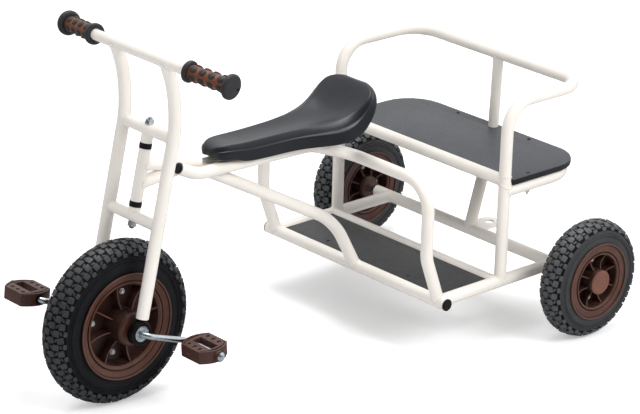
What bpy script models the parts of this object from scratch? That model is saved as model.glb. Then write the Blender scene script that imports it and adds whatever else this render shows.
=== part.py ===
"""Children's tricycle taxi: steered front wheel with cranks, driver's saddle and a rear bench for two.

Z is up, the front points to -Y, and the rider's left side is +X. The origin is on the floor under the
middle of the machine. All lengths are in metres.
"""
import math

import bmesh
import bpy
from mathutils import Matrix, Vector

# General
SEAT_GAP = 0.0003            # left between pieces that touch
TUBE_R = 0.0125              # main frame tube, 25 mm
SMALL_TUBE_R = 0.011         # handlebar and fork crossbars, 22 mm
OVERRUN = 0.02               # how far cutters run past a face
WELD_SHARE = 1 / 30          # of the seat gap, within which cut corners are one point

# Frame widths, from which the axle and the wheels follow
FRAME_HALF = 0.2465
FOOT_OVERHANG = 0.0235
AXLE_OVERHANG = 0.0415
BENCH_OVERHANG = 0.0115
HUB_STANDOFF = 0.0233        # from the axle tube's end to the rear hub

# Wheels
WHEELBASE = 0.9486
FRONT_TYRE_R = 0.165
FRONT_TYRE_HALF_WIDTH = 0.031
FRONT_RIM_R = 0.1075
FRONT_RIM_HALF_WIDTH = 0.039
FRONT_FACE_R = 0.0895        # inner edge of the rim's broad sloping face
FRONT_FACE_INSET = 0.006     # and how far it lies behind the outer edge
FRONT_DISH_R = 0.0765
FRONT_HUB_R = 0.034
FRONT_HUB_HALF_WIDTH = 0.056
FRONT_RIB_INSET = 0.012
FRONT_FIRST_RIB = math.radians(-11)
REAR_TYRE_R = 0.1243
REAR_TYRE_HALF_WIDTH = 0.0275
REAR_RIM_R = 0.0813
REAR_RIM_HALF_WIDTH = 0.033
REAR_FACE_R = 0.063
REAR_FACE_INSET = 0.0025
REAR_DISH_R = 0.054
REAR_HUB_HALF_WIDTH = 0.033
REAR_RIB_INSET = 0.009
REAR_FIRST_RIB = math.radians(25)
HUB_CAP_R = 0.0255
HUB_CAP_THICKNESS = 0.004
HUB_CAP_EDGE = 0.003
HUB_EDGE = 0.004
BEAD_DEPTH = 0.010           # tyre bead below the rim's edge
LUG_HEIGHT = 0.003
AXLE_R = 0.006
AXLE_CLEARANCE = 0.0003
RIM_WEB = 0.005              # half thickness of the web
RIM_DRAFT = 0.0025           # how much the dish opens towards its mouth
RIM_ROLL = 0.0015            # size of the rolled edges
RIM_LIP = 0.007
RIM_SEAT = 0.006
RIM_DROP = 0.003
RIB_THICKNESS = 0.003
RIB_DIP = 0.006              # the ribs' scalloped edge, below its ends
RIB_SINK = 0.001
RIB_COUNT = 8
RIB_STEPS = 3
SPACER_R = 0.010
SPACER_CLEARANCE = 0.0005
AXLE_END_INSET = 0.001
FRONT_TYRE_COLUMNS = 60
REAR_TYRE_COLUMNS = 48
FRONT_RIM_SEGMENTS = 28
REAR_RIM_SEGMENTS = 22
# Tyre section from bead to crown: shares of the half width and of the height above the bead, and lug rows
TYRE_SECTION_SHARES = [(1.00, 0.30, 0), (1.04, 0.58, 0), (0.92, 0.84, 1), (0.50, 0.96, 1)]

# Steering, places along the steering axis are measured from the front axle
RAKE = math.radians(12.0)
FORK_HALF_SPREAD = 0.075
FORK_FOOT = 0.029
LOWER_CROSSBAR = 0.209
UPPER_CROSSBAR = 0.379
LOWER_STUB = 0.030           # from a crossbar to the head tube's end
UPPER_STUB = 0.037
FORK_BEND_R = 0.24
FORK_BEND_ALONG = 0.4415
FORK_TOP_LEAN = math.radians(31)
HANDLEBAR_ALONG = 0.5275
BUSH_HEIGHT = 0.011
HEAD_TUBE_R = 0.0115
HEAD_BORE_R = 0.0075
BUSH_R = 0.0122
BOLT_R = 0.005
BOLT_CLEARANCE = 0.0003
NUT_R = 0.0092
NUT_HEIGHT = 0.008
NUT_DOME = 0.006
NUT_DOME_R = 0.0064
BEARING_R = 0.025
BEARING_EDGE = 0.003
BEARING_HALF_WIDTH = 0.0085
BEARING_SHIFT = 0.0015       # inwards from the fork tube's middle
SOCKET_R = 0.0095
FACE_R = 0.0155
FACE_THICKNESS = 0.003

# Handlebar grips
HANDLEBAR_BEND_X = 0.128
HANDLEBAR_BEND_R = 0.035
HANDLEBAR_END_X = 0.2410
HANDLEBAR_SWEEP = 0.0168
HANDLEBAR_DROP = 0.0067
GRIP_START = 0.0093
GRIP_END = 0.1210
GRIP_R = 0.0150
GRIP_END_R = 0.0245
GRIP_INNER_FLANGE_R = 0.0210
GRIP_FLANGE_WIDTH = 0.007
GRIP_END_WIDTH = 0.009
GRIP_ROUND = 0.002

# Cranks and pedals
CRANK_R = 0.108
CRANK_ANGLE = math.radians(-19.5)
CRANK_ROD_R = 0.006
CRANK_STANDOFF = 0.0135      # of the arm's middle from the bearing's face
CRANK_LEAN = 0.0005          # how much further out the arm's pedal end is
CRANK_BEND_R = 0.008
PEDAL_STANDOFF = 0.008
PEDAL_CORNER_INSET = 0.013   # from the inner end wall's middle to its corners
PEDAL_SIDE_LENGTH = 0.0535
PEDAL_OUTER_BULGE = 0.0165
PEDAL_HALF_LENGTH = 0.0345
PEDAL_HALF_HEIGHT = 0.0127
PEDAL_TILTS = {"left": math.radians(4), "right": math.radians(-5)}
PEDAL_WALL = 0.004
PEDAL_SLOT = 0.005
PEDAL_SLOT_HALF = 0.024
PEDAL_OPENING_HALF = 0.0105
PEDAL_OPENING_INSET = 0.017
PEDAL_OPENING_LENGTH = 0.0525
PEDAL_RECESS_R = 0.0046
PEDAL_RECESS_DEPTH = 0.003
PEDAL_RECESS_PITCH = 0.0165
PEDAL_RECESS_ROW = 0.023
PEDAL_RECESS_COUNT = 3
PEDAL_BOSS_R = 0.011
PEDAL_BOSS_LENGTH = 0.006
PEDAL_CLEARANCE = 0.0004
PEDAL_NUT_R = 0.009
PEDAL_NUT_HEIGHT = 0.006
PEDAL_NUT_EDGE = 0.0025
PEDAL_END_STEPS = 6

# Frame, side view places are measured from the rear axle
FOOT_FRONT_Y = -0.328
FOOT_REAR_Y = -0.1675
CAP_THICKNESS = 0.004
UPRIGHT_Y = -0.155
LOOP_Z = 0.502
LOOP_REAR_Y = 0.0635
ARM_BEND_R = 0.060
LOOP_CORNER_R = 0.062
BENCH_TUBE_Z = 0.340
BENCH_TOP_Z = 0.3430
BENCH_THICKNESS = 0.012
BENCH_REAR_Y = 0.071
BENCH_CORNER_R = 0.078
SUPPORT_REAR_Y = 0.057
SUPPORT_CORNER_R = 0.080
POST_R = 0.0110
FOOTPLATE_THICKNESS = 0.012
SEAT_TUBE_HALF = 0.0185
SEAT_FRONT_Y = -0.8105
SEAT_FRONT_Z = 0.449
SEAT_BEND_Y = -0.7660
SEAT_BEND_Z = 0.4275
SEAT_LEVEL_Y = -0.4750
SEAT_LEVEL_Z = 0.4215
HOOP_Y = -0.366
HOOP_Z = 0.380
HOOP_JOINT = 0.058
HOOP_CORNER_R = 0.060
HOOP_KNEE_Z = 0.225
SEAT_TURN_R = 0.034
SEAT_BEND_R = 0.08
SEAT_SAG_R = 0.10
HOOP_KNEE_R = 0.06
DOWN_TOP_Y = -0.7300
DOWN_TOP_Z = 0.4230
DOWN_KNEE_Y = -0.3914
DOWN_KNEE_Z = 0.2371
DOWN_BEND_R = 0.16
NECK_BELOW = 0.0322          # from the head tube's top end to the neck tube
NECK_REAR_Y = -0.7480
NECK_REAR_Z = 0.4440
BRACE_SHARE = 0.335          # of the head tube's length, from its low end to the brace
BRACE_REAR_Y = -0.8000
BRACE_REAR_Z = 0.4400
PLUG_R = 0.0110
PLUG_LENGTH = 0.004

TOW_HALF = 0.026
TOW_REACH = 0.084
TOW_CORNER_R = 0.0255
TOW_THICKNESS = 0.005
TOW_HOLE_Y = 0.060
TOW_HOLE_R = 0.010

# Saddle: a moulded shell, open underneath, on cross ribs that sit on the two seat tubes
SADDLE_NOSE_Y = -0.7265
SADDLE_LENGTH = 0.3785
SADDLE_BASE_Z = 0.433
SADDLE_RISE = 0.098
SADDLE_HALF_WIDTH = 0.0905
SADDLE_DEPTH = 0.039
SADDLE_WALL = 0.0035
SADDLE_RIB_THICKNESS = 0.004
SADDLE_RIB_HEIGHT = 0.0155
# Each station: shares of the length, the rise of the crest, its half width, the half widths at the bulge
# and at the lower edge, the depth of the side, the sink of the middle below the crest, and a tilt
SADDLE_STATION_SHARES = [
    (0.000, 0.276, 0.066, 0.149, 0.110, 0.31, 0.00, 0),
    (0.008, 0.342, 0.127, 0.232, 0.199, 0.53, 0.01, 0),
    (0.024, 0.393, 0.204, 0.320, 0.293, 0.69, 0.03, 0),
    (0.049, 0.418, 0.271, 0.392, 0.365, 0.76, 0.04, 0),
    (0.096, 0.416, 0.331, 0.436, 0.414, 0.76, 0.05, 0),
    (0.133, 0.408, 0.359, 0.448, 0.442, 0.79, 0.06, 0),
    (0.170, 0.399, 0.370, 0.453, 0.454, 1.00, 0.08, 0),
    (0.281, 0.395, 0.368, 0.477, 0.484, 1.00, 0.09, 0),
    (0.387, 0.398, 0.380, 0.510, 0.519, 1.00, 0.13, 0),
    (0.493, 0.403, 0.393, 0.541, 0.552, 1.00, 0.18, 1),
    (0.598, 0.410, 0.444, 0.669, 0.696, 1.00, 0.23, 2),
    (0.704, 0.414, 0.513, 0.856, 0.923, 1.00, 0.23, 6),
    (0.757, 0.427, 0.557, 0.917, 0.994, 1.00, 0.19, 12),
    (0.810, 0.459, 0.631, 0.914, 1.000, 0.99, 0.15, 24),
    (0.836, 0.507, 0.652, 0.915, 0.985, 0.95, 0.13, 33),
    (0.863, 0.570, 0.696, 0.920, 0.983, 0.85, 0.09, 40),
    (0.889, 0.635, 0.740, 0.918, 0.976, 0.72, 0.05, 47),
    (0.915, 0.728, 0.765, 0.897, 0.961, 0.56, 0.03, 54),
    (0.932, 0.786, 0.773, 0.873, 0.943, 0.46, 0.00, 60),
    (0.950, 0.837, 0.773, 0.850, 0.893, 0.38, -0.03, 63),
    (0.963, 0.888, 0.739, 0.808, 0.827, 0.36, -0.05, 66),
    (0.984, 0.939, 0.646, 0.663, 0.624, 0.31, -0.08, 70),
    (0.995, 0.974, 0.530, 0.552, 0.519, 0.28, -0.08, 74),
    (1.000, 1.000, 0.331, 0.354, 0.331, 0.26, -0.05, 78),
]
# The top: shares of the crest's half width, and of the sink
SADDLE_TOP_SHARES = [(0.50, 0.80), (0.88, 0.20)]
# The flank: shares of the way from crest to bulge, and of the depth
SADDLE_FLANK_SHARES = [(0.0, 0.0), (0.30, 0.07), (0.45, 0.30), (1.0, 0.52)]
SADDLE_HOLLOW = (4, 20)      # first and last station with a hollow underside
SADDLE_RIBS = (7, 9)         # stations with a cross rib

# What follows from the sizes above; the floor frame lies at the height of the rear axle
FLOOR_TUBE_Z = REAR_TYRE_R
FOOT_TUBE_HALF = FRAME_HALF + FOOT_OVERHANG
AXLE_TUBE_HALF = FRAME_HALF + AXLE_OVERHANG
BENCH_HALF = FRAME_HALF + BENCH_OVERHANG
REAR_TRACK_HALF = AXLE_TUBE_HALF + HUB_STANDOFF + REAR_HUB_HALF_WIDTH
SUPPORT_Z = BENCH_TOP_Z - BENCH_THICKNESS - TUBE_R - SEAT_GAP
HEAD_LOW = LOWER_CROSSBAR + LOWER_STUB
HEAD_HIGH = UPPER_CROSSBAR - UPPER_STUB
BEARING_OFFSET = FORK_HALF_SPREAD - BEARING_SHIFT
CRANK_ARM_INNER = BEARING_OFFSET + BEARING_HALF_WIDTH + CRANK_STANDOFF
CRANK_ARM_OUTER = CRANK_ARM_INNER + CRANK_LEAN
PEDAL_INNER = CRANK_ARM_OUTER + PEDAL_STANDOFF
PEDAL_NEAR_CORNER = PEDAL_INNER + PEDAL_CORNER_INSET
PEDAL_FAR_CORNER = PEDAL_NEAR_CORNER + PEDAL_SIDE_LENGTH
PEDAL_OUTER = PEDAL_FAR_CORNER + PEDAL_OUTER_BULGE
PEDAL_BOSS_END = PEDAL_OUTER + PEDAL_BOSS_LENGTH
REAR_AXLE_Y = (WHEELBASE + FRONT_TYRE_R - REAR_TYRE_R) / 2
FRONT_AXLE = Vector((0, REAR_AXLE_Y - WHEELBASE, FRONT_TYRE_R))
STEER_UP = Vector((0, math.sin(RAKE), math.cos(RAKE)))
STEER_AHEAD = Vector((0, -math.cos(RAKE), math.sin(RAKE)))

# How finely curves are cut and shaded
TUBE_SIDES = 14
CUTTER_SIDES = 20
BORE_SIDES = 16
ROD_SIDES = 12
NUT_SIDES = 6
SMALL_SIDES = 8
DRUM_SIDES = 22
TURN_STEP = math.radians(18)
FORK_TURN_STEP = math.radians(8)
CRANK_TURN_STEP = math.radians(24)
TUBE_SMOOTH = math.radians(40)
FLAT_SMOOTH = math.radians(20)
SADDLE_SMOOTH = math.radians(50)


def at(x, y, z):
    # A place measured from the middle of the rear axle's line on the floor
    return Vector((x, y + REAR_AXLE_Y, z))


def steer(x, along, ahead=0.0):
    # A place on the steered fork: along the steering axis from the front axle, and ahead of it
    return FRONT_AXLE + Vector((x, 0, 0)) + STEER_UP * along + STEER_AHEAD * ahead


def mirror_x(points):
    return [Vector((-point.x, point.y, point.z)) for point in points]


# Materials

def paint(name, colour, roughness, metallic=0.0):
    material = bpy.data.materials.get(name) or bpy.data.materials.new(name)
    material.use_nodes = True
    shader = material.node_tree.nodes["Principled BSDF"]
    shader.inputs["Base Color"].default_value = (*colour, 1.0)
    shader.inputs["Roughness"].default_value = roughness
    shader.inputs["Metallic"].default_value = metallic
    return material


def cream_paint():
    return paint("cream_powder_coat", (0.80, 0.77, 0.72), 0.35)


def brown_plastic():
    return paint("brown_plastic", (0.085, 0.026, 0.014), 0.45)


def pedal_plastic():
    return paint("pedal_plastic", (0.095, 0.040, 0.028), 0.5)


def orange_rubber():
    return paint("orange_rubber", (0.24, 0.065, 0.018), 0.55)


def black_plastic():
    return paint("black_plastic", (0.018, 0.018, 0.020), 0.45)


def saddle_plastic():
    return paint("saddle_plastic", (0.040, 0.043, 0.047), 0.33)


def grey_board():
    return paint("grey_board", (0.085, 0.088, 0.100), 0.6)


def tyre_rubber():
    return paint("tyre_rubber", (0.030, 0.031, 0.033), 0.8)


def bright_steel():
    return paint("bright_steel", (0.75, 0.76, 0.77), 0.2, 1.0)


# Mesh helpers

def add_object(name, mesh, material, parent, smooth_angle):
    mesh.materials.clear()
    mesh.materials.append(material)
    mesh.shade_smooth()
    mesh.set_sharp_from_angle(angle=smooth_angle)
    item = bpy.data.objects.new(name, mesh)
    bpy.context.scene.collection.objects.link(item)
    if parent:
        item.parent = parent
        mesh.transform(Matrix.Translation(-parent_place(parent)))
    return item


def parent_place(parent):
    place = Vector(parent.location)
    while parent.parent:
        parent = parent.parent
        place += Vector(parent.location)
    return place


def pivot(name, place, parent=None):
    # An empty on a joint's axis, which carries the pieces that move about it
    empty = bpy.data.objects.new(name, None)
    bpy.context.scene.collection.objects.link(empty)
    empty.location = place - (parent_place(parent) if parent else Vector((0, 0, 0)))
    empty.parent = parent
    return empty


def mesh_from(bm):
    bmesh.ops.recalc_face_normals(bm, faces=bm.faces)
    mesh = bpy.data.meshes.new("mesh")
    bm.to_mesh(mesh)
    bm.free()
    return mesh


def combine(base, others, operation):
    # A Boolean of a mesh with each of the others in turn, as a new mesh
    for other in others:
        host = bpy.data.objects.new("host", base)
        tool = bpy.data.objects.new("tool", other)
        for item in (host, tool):
            bpy.context.scene.collection.objects.link(item)
        step = host.modifiers.new("step", "BOOLEAN")
        step.operation = operation
        step.solver = "EXACT"
        step.object = tool
        bpy.context.view_layer.update()
        result = bpy.data.meshes.new_from_object(host.evaluated_get(bpy.context.evaluated_depsgraph_get()))
        for item in (host, tool):
            bpy.data.objects.remove(item)
        base = tidy_mesh(result)
    return base


def tidy_mesh(mesh):
    bm = bmesh.new()
    bm.from_mesh(mesh)
    bmesh.ops.remove_doubles(bm, verts=bm.verts, dist=SEAT_GAP * WELD_SHARE)
    bmesh.ops.dissolve_degenerate(bm, edges=bm.edges, dist=SEAT_GAP * WELD_SHARE)
    bm.to_mesh(mesh)
    bm.free()
    return mesh


def largest_part(mesh):
    # Keeps the side of a cut that the piece is made of, and drops the sliver on its far side
    bm = bmesh.new()
    bm.from_mesh(mesh)
    left = set(bm.verts)
    parts = []
    while left:
        part = {left.pop()}
        edge = list(part)
        while edge:
            near = [link.other_vert(vert) for vert in edge for link in vert.link_edges]
            edge = [vert for vert in set(near) if vert not in part]
            part.update(edge)
        left -= part
        parts.append(part)
    keep = max(parts, key=len)
    bmesh.ops.delete(bm, geom=[vert for vert in bm.verts if vert not in keep], context="VERTS")
    bm.to_mesh(mesh)
    bm.free()
    return mesh


def rounded(corners, radii, turn_step=TURN_STEP):
    # The corners of a bent rod, with each inner corner replaced by an arc
    if not isinstance(radii, (list, tuple)):
        radii = [radii] * (len(corners) - 2)
    points = [corners[0]]
    for before, corner, after, radius in zip(corners, corners[1:], corners[2:], radii):
        back = (before - corner).normalized()
        on = (after - corner).normalized()
        turn = math.pi - back.angle(on)
        reach = radius * math.tan(turn / 2)
        centre = corner + (back + on).normalized() * radius / math.cos(turn / 2)
        start = corner + back * reach - centre
        end = corner + on * reach - centre
        count = max(2, math.ceil(turn / turn_step))
        for step in range(count + 1):
            share = step / count
            first = math.sin((1 - share) * turn)
            second = math.sin(share * turn)
            points.append(centre + (start * first + end * second) / math.sin(turn))
    points.append(corners[-1])
    return points


def joined(meshes):
    # Several meshes as one, each still a body of its own
    bm = bmesh.new()
    for mesh in meshes:
        bm.from_mesh(mesh)
    return mesh_from(bm)


def rod_mesh(path, radius, sides=TUBE_SIDES):
    # A round rod swept along a path and mitred at each corner, closed at both ends
    bm = bmesh.new()
    spans = [(after - before).normalized() for before, after in zip(path, path[1:])]
    side = spans[0].orthogonal().normalized()
    rings = []
    for index, point in enumerate(path):
        before = spans[max(index - 1, 0)]
        after = spans[min(index, len(spans) - 1)]
        along = (before + after).normalized()
        across = (after - before).normalized()
        stretch = 1 / along.dot(after)
        side = (side - along * side.dot(along)).normalized()
        other = along.cross(side)
        ring = []
        for step in range(sides):
            angle = 2 * math.pi * (step + 0.5) / sides
            arm = side * math.cos(angle) + other * math.sin(angle)
            arm += across * arm.dot(across) * (stretch - 1)
            ring.append(bm.verts.new(point + arm * radius))
        rings.append(ring)
    for ring, following in zip(rings, rings[1:]):
        for step in range(sides):
            nearby = (step + 1) % sides
            bm.faces.new((ring[step], ring[nearby], following[nearby], following[step]))
    bm.faces.new(list(reversed(rings[0])))
    bm.faces.new(rings[-1])
    return mesh_from(bm)


def turned_mesh(profile, centre, axis, segments=CUTTER_SIDES):
    # A closed outline of (along, radius) points turned about an axis; points at radius zero are shared
    bm = bmesh.new()
    axis = Vector(axis).normalized()
    side = axis.orthogonal().normalized()
    other = axis.cross(side)
    rings = []
    for along, radius in profile:
        middle = centre + axis * along
        if radius == 0:
            rings.append([bm.verts.new(middle)] * segments)
            continue
        ring = []
        for step in range(segments):
            angle = 2 * math.pi * (step + 0.5) / segments
            ring.append(bm.verts.new(middle + (side * math.cos(angle) + other * math.sin(angle)) * radius))
        rings.append(ring)
    for ring, following in zip(rings, rings[1:] + rings[:1]):
        if ring[0] == ring[1] and following[0] == following[1]:
            continue
        for step in range(segments):
            nearby = (step + 1) % segments
            corners = []
            for vert in (ring[step], ring[nearby], following[nearby], following[step]):
                if vert not in corners:
                    corners.append(vert)
            bm.faces.new(corners)
    return mesh_from(bm)


def cylinder_mesh(start, end, radius, segments=CUTTER_SIDES):
    length = (end - start).length
    return turned_mesh([(0, 0), (0, radius), (length, radius), (length, 0)], start, end - start, segments)


def prism_mesh(outline, low, high, place=lambda u, v, w: Vector((u, v, w))):
    # An outline of (u, v) points extruded from w = low to w = high
    bm = bmesh.new()
    bottom = [bm.verts.new(place(u, v, low)) for u, v in outline]
    top = [bm.verts.new(place(u, v, high)) for u, v in outline]
    bm.faces.new(list(reversed(bottom)))
    bm.faces.new(top)
    for index in range(len(outline)):
        nearby = (index + 1) % len(outline)
        bm.faces.new((bottom[index], bottom[nearby], top[nearby], top[index]))
    return mesh_from(bm)


def rounded_outline(corners, radii, steps=6):
    flat = [Vector((x, y, 0)) for x, y in corners]
    points = []
    for index, corner in enumerate(flat):
        before = flat[index - 1]
        after = flat[(index + 1) % len(flat)]
        radius = radii[index]
        if radius == 0:
            points.append((corner.x, corner.y))
            continue
        arc = rounded([before, corner, after], radius, math.pi / 2 / steps)[1:-1]
        points += [(point.x, point.y) for point in arc]
    return points


def box_mesh(low, high):
    outline = [(low.x, low.y), (high.x, low.y), (high.x, high.y), (low.x, high.y)]
    return prism_mesh(outline, low.z, high.z)


# Paths of the bent tubes, shared by each tube and by what is coped to it

def seat_path():
    sideways = SEAT_TUBE_HALF
    return rounded([at(sideways, SEAT_FRONT_Y, SEAT_FRONT_Z), at(sideways, SEAT_BEND_Y, SEAT_BEND_Z),
                    at(sideways, SEAT_LEVEL_Y, SEAT_LEVEL_Z), at(sideways, HOOP_Y, HOOP_Z),
                    at(HOOP_JOINT, HOOP_Y, HOOP_Z)], [SEAT_BEND_R, SEAT_SAG_R, SEAT_TURN_R])


def hoop_path():
    return rounded([at(HOOP_JOINT + SEAT_GAP, HOOP_Y, HOOP_Z), at(FRAME_HALF, HOOP_Y, HOOP_Z),
                    at(FRAME_HALF, HOOP_Y, HOOP_KNEE_Z), at(FRAME_HALF, FOOT_FRONT_Y, FLOOR_TUBE_Z)],
                   [HOOP_CORNER_R, HOOP_KNEE_R])


def loop_path():
    left = [at(FRAME_HALF, UPRIGHT_Y, FLOOR_TUBE_Z), at(FRAME_HALF, UPRIGHT_Y, LOOP_Z),
            at(FRAME_HALF, LOOP_REAR_Y, LOOP_Z)]
    corners = left + mirror_x(reversed(left))
    return rounded(corners, [ARM_BEND_R, LOOP_CORNER_R, LOOP_CORNER_R, ARM_BEND_R])


def support_path():
    left = [at(FRAME_HALF, UPRIGHT_Y, SUPPORT_Z), at(FRAME_HALF, SUPPORT_REAR_Y, SUPPORT_Z)]
    return rounded(left + mirror_x(reversed(left)), [SUPPORT_CORNER_R, SUPPORT_CORNER_R])


def down_path():
    return rounded([at(0, DOWN_TOP_Y, DOWN_TOP_Z), at(0, DOWN_KNEE_Y, DOWN_KNEE_Z),
                    at(0, FOOT_FRONT_Y, FLOOR_TUBE_Z)], DOWN_BEND_R)


def straight(start, end):
    return [start, end]


def rail_path():
    return straight(at(FRAME_HALF, FOOT_FRONT_Y, FLOOR_TUBE_Z), at(FRAME_HALF, 0, FLOOR_TUBE_Z))


def foot_front_path():
    reach = FOOT_TUBE_HALF
    return straight(at(-reach, FOOT_FRONT_Y, FLOOR_TUBE_Z), at(reach, FOOT_FRONT_Y, FLOOR_TUBE_Z))


def foot_rear_path():
    return straight(at(-FRAME_HALF, FOOT_REAR_Y, FLOOR_TUBE_Z), at(FRAME_HALF, FOOT_REAR_Y, FLOOR_TUBE_Z))


def axle_tube_path():
    return straight(at(-AXLE_TUBE_HALF, 0, FLOOR_TUBE_Z), at(AXLE_TUBE_HALF, 0, FLOOR_TUBE_Z))


def bench_tube_path():
    return straight(at(-FRAME_HALF, UPRIGHT_Y, BENCH_TUBE_Z), at(FRAME_HALF, UPRIGHT_Y, BENCH_TUBE_Z))


def strut_path():
    return straight(at(0, 0, FLOOR_TUBE_Z), at(0, SUPPORT_REAR_Y, SUPPORT_Z))


def post_path():
    return straight(at(0, SUPPORT_REAR_Y, SUPPORT_Z), at(0, LOOP_REAR_Y, LOOP_Z))


def head_path():
    return straight(steer(0, HEAD_LOW - OVERRUN), steer(0, HEAD_HIGH + OVERRUN))


def neck_path():
    return straight(steer(0, HEAD_HIGH - NECK_BELOW), at(0, NECK_REAR_Y, NECK_REAR_Z))


def brace_path():
    start = HEAD_LOW + (HEAD_HIGH - HEAD_LOW) * BRACE_SHARE
    return straight(steer(0, start), at(0, BRACE_REAR_Y, BRACE_REAR_Z))


def fork_path():
    return rounded([steer(FORK_HALF_SPREAD, FORK_FOOT), steer(FORK_HALF_SPREAD, FORK_BEND_ALONG),
                    steer(FORK_HALF_SPREAD, *handlebar_place())], FORK_BEND_R, FORK_TURN_STEP)


def handlebar_place():
    return HANDLEBAR_ALONG, (HANDLEBAR_ALONG - FORK_BEND_ALONG) * math.tan(FORK_TOP_LEAN)


def grip_corner(side):
    # Where the handlebar bends back towards the rider
    return steer(side * HANDLEBAR_BEND_X, *handlebar_place())


def grip_axis(side):
    reach = HANDLEBAR_END_X - HANDLEBAR_BEND_X
    return Vector((side * reach, HANDLEBAR_SWEEP, -HANDLEBAR_DROP))


def handlebar_path():
    ends = [grip_corner(side) + grip_axis(side) for side in (-1, 1)]
    return rounded([ends[0], grip_corner(-1), grip_corner(1), ends[1]], HANDLEBAR_BEND_R)


def crossbar_path(along):
    return straight(steer(-FORK_HALF_SPREAD, along), steer(FORK_HALF_SPREAD, along))


def grown(path, radius=TUBE_R):
    # The tube along a path, a seat gap larger all round, to cut what meets it
    return rod_mesh(path, radius + SEAT_GAP, CUTTER_SIDES)


# Frame

def frame_tube(name, path, cuts=(), radius=TUBE_R, bores=()):
    mesh = rod_mesh(path, radius)
    mesh = combine(mesh, list(cuts) + list(bores), "DIFFERENCE")
    return add_object(name, mesh, cream_paint(), None, TUBE_SMOOTH)


def both_sides(name, path, cuts):
    frame_tube(name + "_left", path, [grown(*cut) for cut in cuts])
    mirrored = [(mirror_x(cut[0]),) + tuple(cut[1:]) for cut in cuts]
    frame_tube(name + "_right", mirror_x(path), [grown(*cut) for cut in mirrored])


def build_frame():
    reach = AXLE_TUBE_HALF + OVERRUN
    axle_bore = cylinder_mesh(at(-reach, 0, FLOOR_TUBE_Z), at(reach, 0, FLOOR_TUBE_Z),
                              AXLE_R + AXLE_CLEARANCE, BORE_SIDES)
    frame_tube("rear_axle_tube", axle_tube_path(), bores=[axle_bore])
    frame_tube("foot_tube_front", foot_front_path())
    both_sides("side_rail", rail_path(), [(foot_front_path(),), (axle_tube_path(),)])
    rails = [rail_path(), mirror_x(rail_path())]
    frame_tube("foot_tube_rear", foot_rear_path(), [grown(rail) for rail in rails])
    loop_cuts = [grown(rail) for rail in rails] + [grown(foot_rear_path())]
    frame_tube("backrest_loop", loop_path(), loop_cuts)
    frame_tube("bench_tube_front", bench_tube_path(), [grown(loop_path())])
    frame_tube("bench_support_loop", support_path(), [grown(loop_path()), grown(bench_tube_path())])
    frame_tube("centre_strut", strut_path(), [grown(axle_tube_path()), grown(support_path())])
    frame_tube("back_post", post_path(), [grown(support_path()), grown(loop_path())], POST_R)
    both_sides("seat_tube", seat_path(), [])
    both_sides("hoop_side", hoop_path(), [(foot_front_path(),), (rail_path(),)])
    seats = [grown(seat_path()), grown(mirror_x(seat_path()))]
    frame_tube("down_tube", down_path(), [grown(foot_front_path())] + seats)
    head = grown(head_path(), HEAD_TUBE_R)
    beyond = [seat_path()[0] * 2 - seat_path()[1]] + seat_path()
    past_ends = [grown(beyond), grown(mirror_x(beyond))]
    frame_tube("neck_tube", neck_path(), [head] + past_ends)
    frame_tube("neck_brace", brace_path(), [head, grown(neck_path())] + past_ends)
    head_mesh = cylinder_mesh(steer(0, HEAD_LOW), steer(0, HEAD_HIGH), HEAD_TUBE_R)
    head_bore = cylinder_mesh(*head_path(), HEAD_BORE_R, BORE_SIDES)
    head_mesh = combine(head_mesh, [head_bore], "DIFFERENCE")
    add_object("head_tube", head_mesh, cream_paint(), None, TUBE_SMOOTH)


def build_tow_plate():
    # A tongue welded to the back of the rear axle tube, with a rounded end and a pin hole
    start = REAR_AXLE_Y
    corners = [(-TOW_HALF, start), (TOW_HALF, start), (TOW_HALF, start + TOW_REACH),
               (-TOW_HALF, start + TOW_REACH)]
    outline = rounded_outline(corners, [0, 0, TOW_CORNER_R, TOW_CORNER_R])
    mesh = prism_mesh(outline, FLOOR_TUBE_Z - TOW_THICKNESS / 2, FLOOR_TUBE_Z + TOW_THICKNESS / 2)
    hole = at(0, TOW_HOLE_Y, FLOOR_TUBE_Z)
    drop = Vector((0, 0, OVERRUN))
    bore = cylinder_mesh(hole - drop, hole + drop, TOW_HOLE_R, CUTTER_SIDES)
    mesh = combine(mesh, [grown(axle_tube_path()), grown(strut_path()), bore], "DIFFERENCE")
    mesh = largest_part(mesh)
    add_object("tow_plate", mesh, cream_paint(), None, FLAT_SMOOTH)


def build_caps():
    for side, name in ((1, "left"), (-1, "right")):
        place = at(side * (FOOT_TUBE_HALF + SEAT_GAP), FOOT_FRONT_Y, FLOOR_TUBE_Z)
        dome = [(0, 0), (0, TUBE_R), (CAP_THICKNESS / 2, TUBE_R), (CAP_THICKNESS, TUBE_R * 3 / 4),
                (CAP_THICKNESS, 0)]
        mesh = turned_mesh(dome, place, (side, 0, 0), BORE_SIDES)
        add_object("foot_cap_" + name, mesh, black_plastic(), None, TUBE_SMOOTH)
        path = seat_path()
        forward = (path[0] - path[1]).normalized()
        start = path[0] + forward * SEAT_GAP
        plug = [(0, 0), (0, PLUG_R), (PLUG_LENGTH / 2, PLUG_R), (PLUG_LENGTH, PLUG_R * 3 / 4),
                (PLUG_LENGTH, 0)]
        start.x *= side
        mesh = turned_mesh(plug, start, forward, BORE_SIDES)
        add_object("stop_plug_" + name, mesh, black_plastic(), None, TUBE_SMOOTH)


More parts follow.
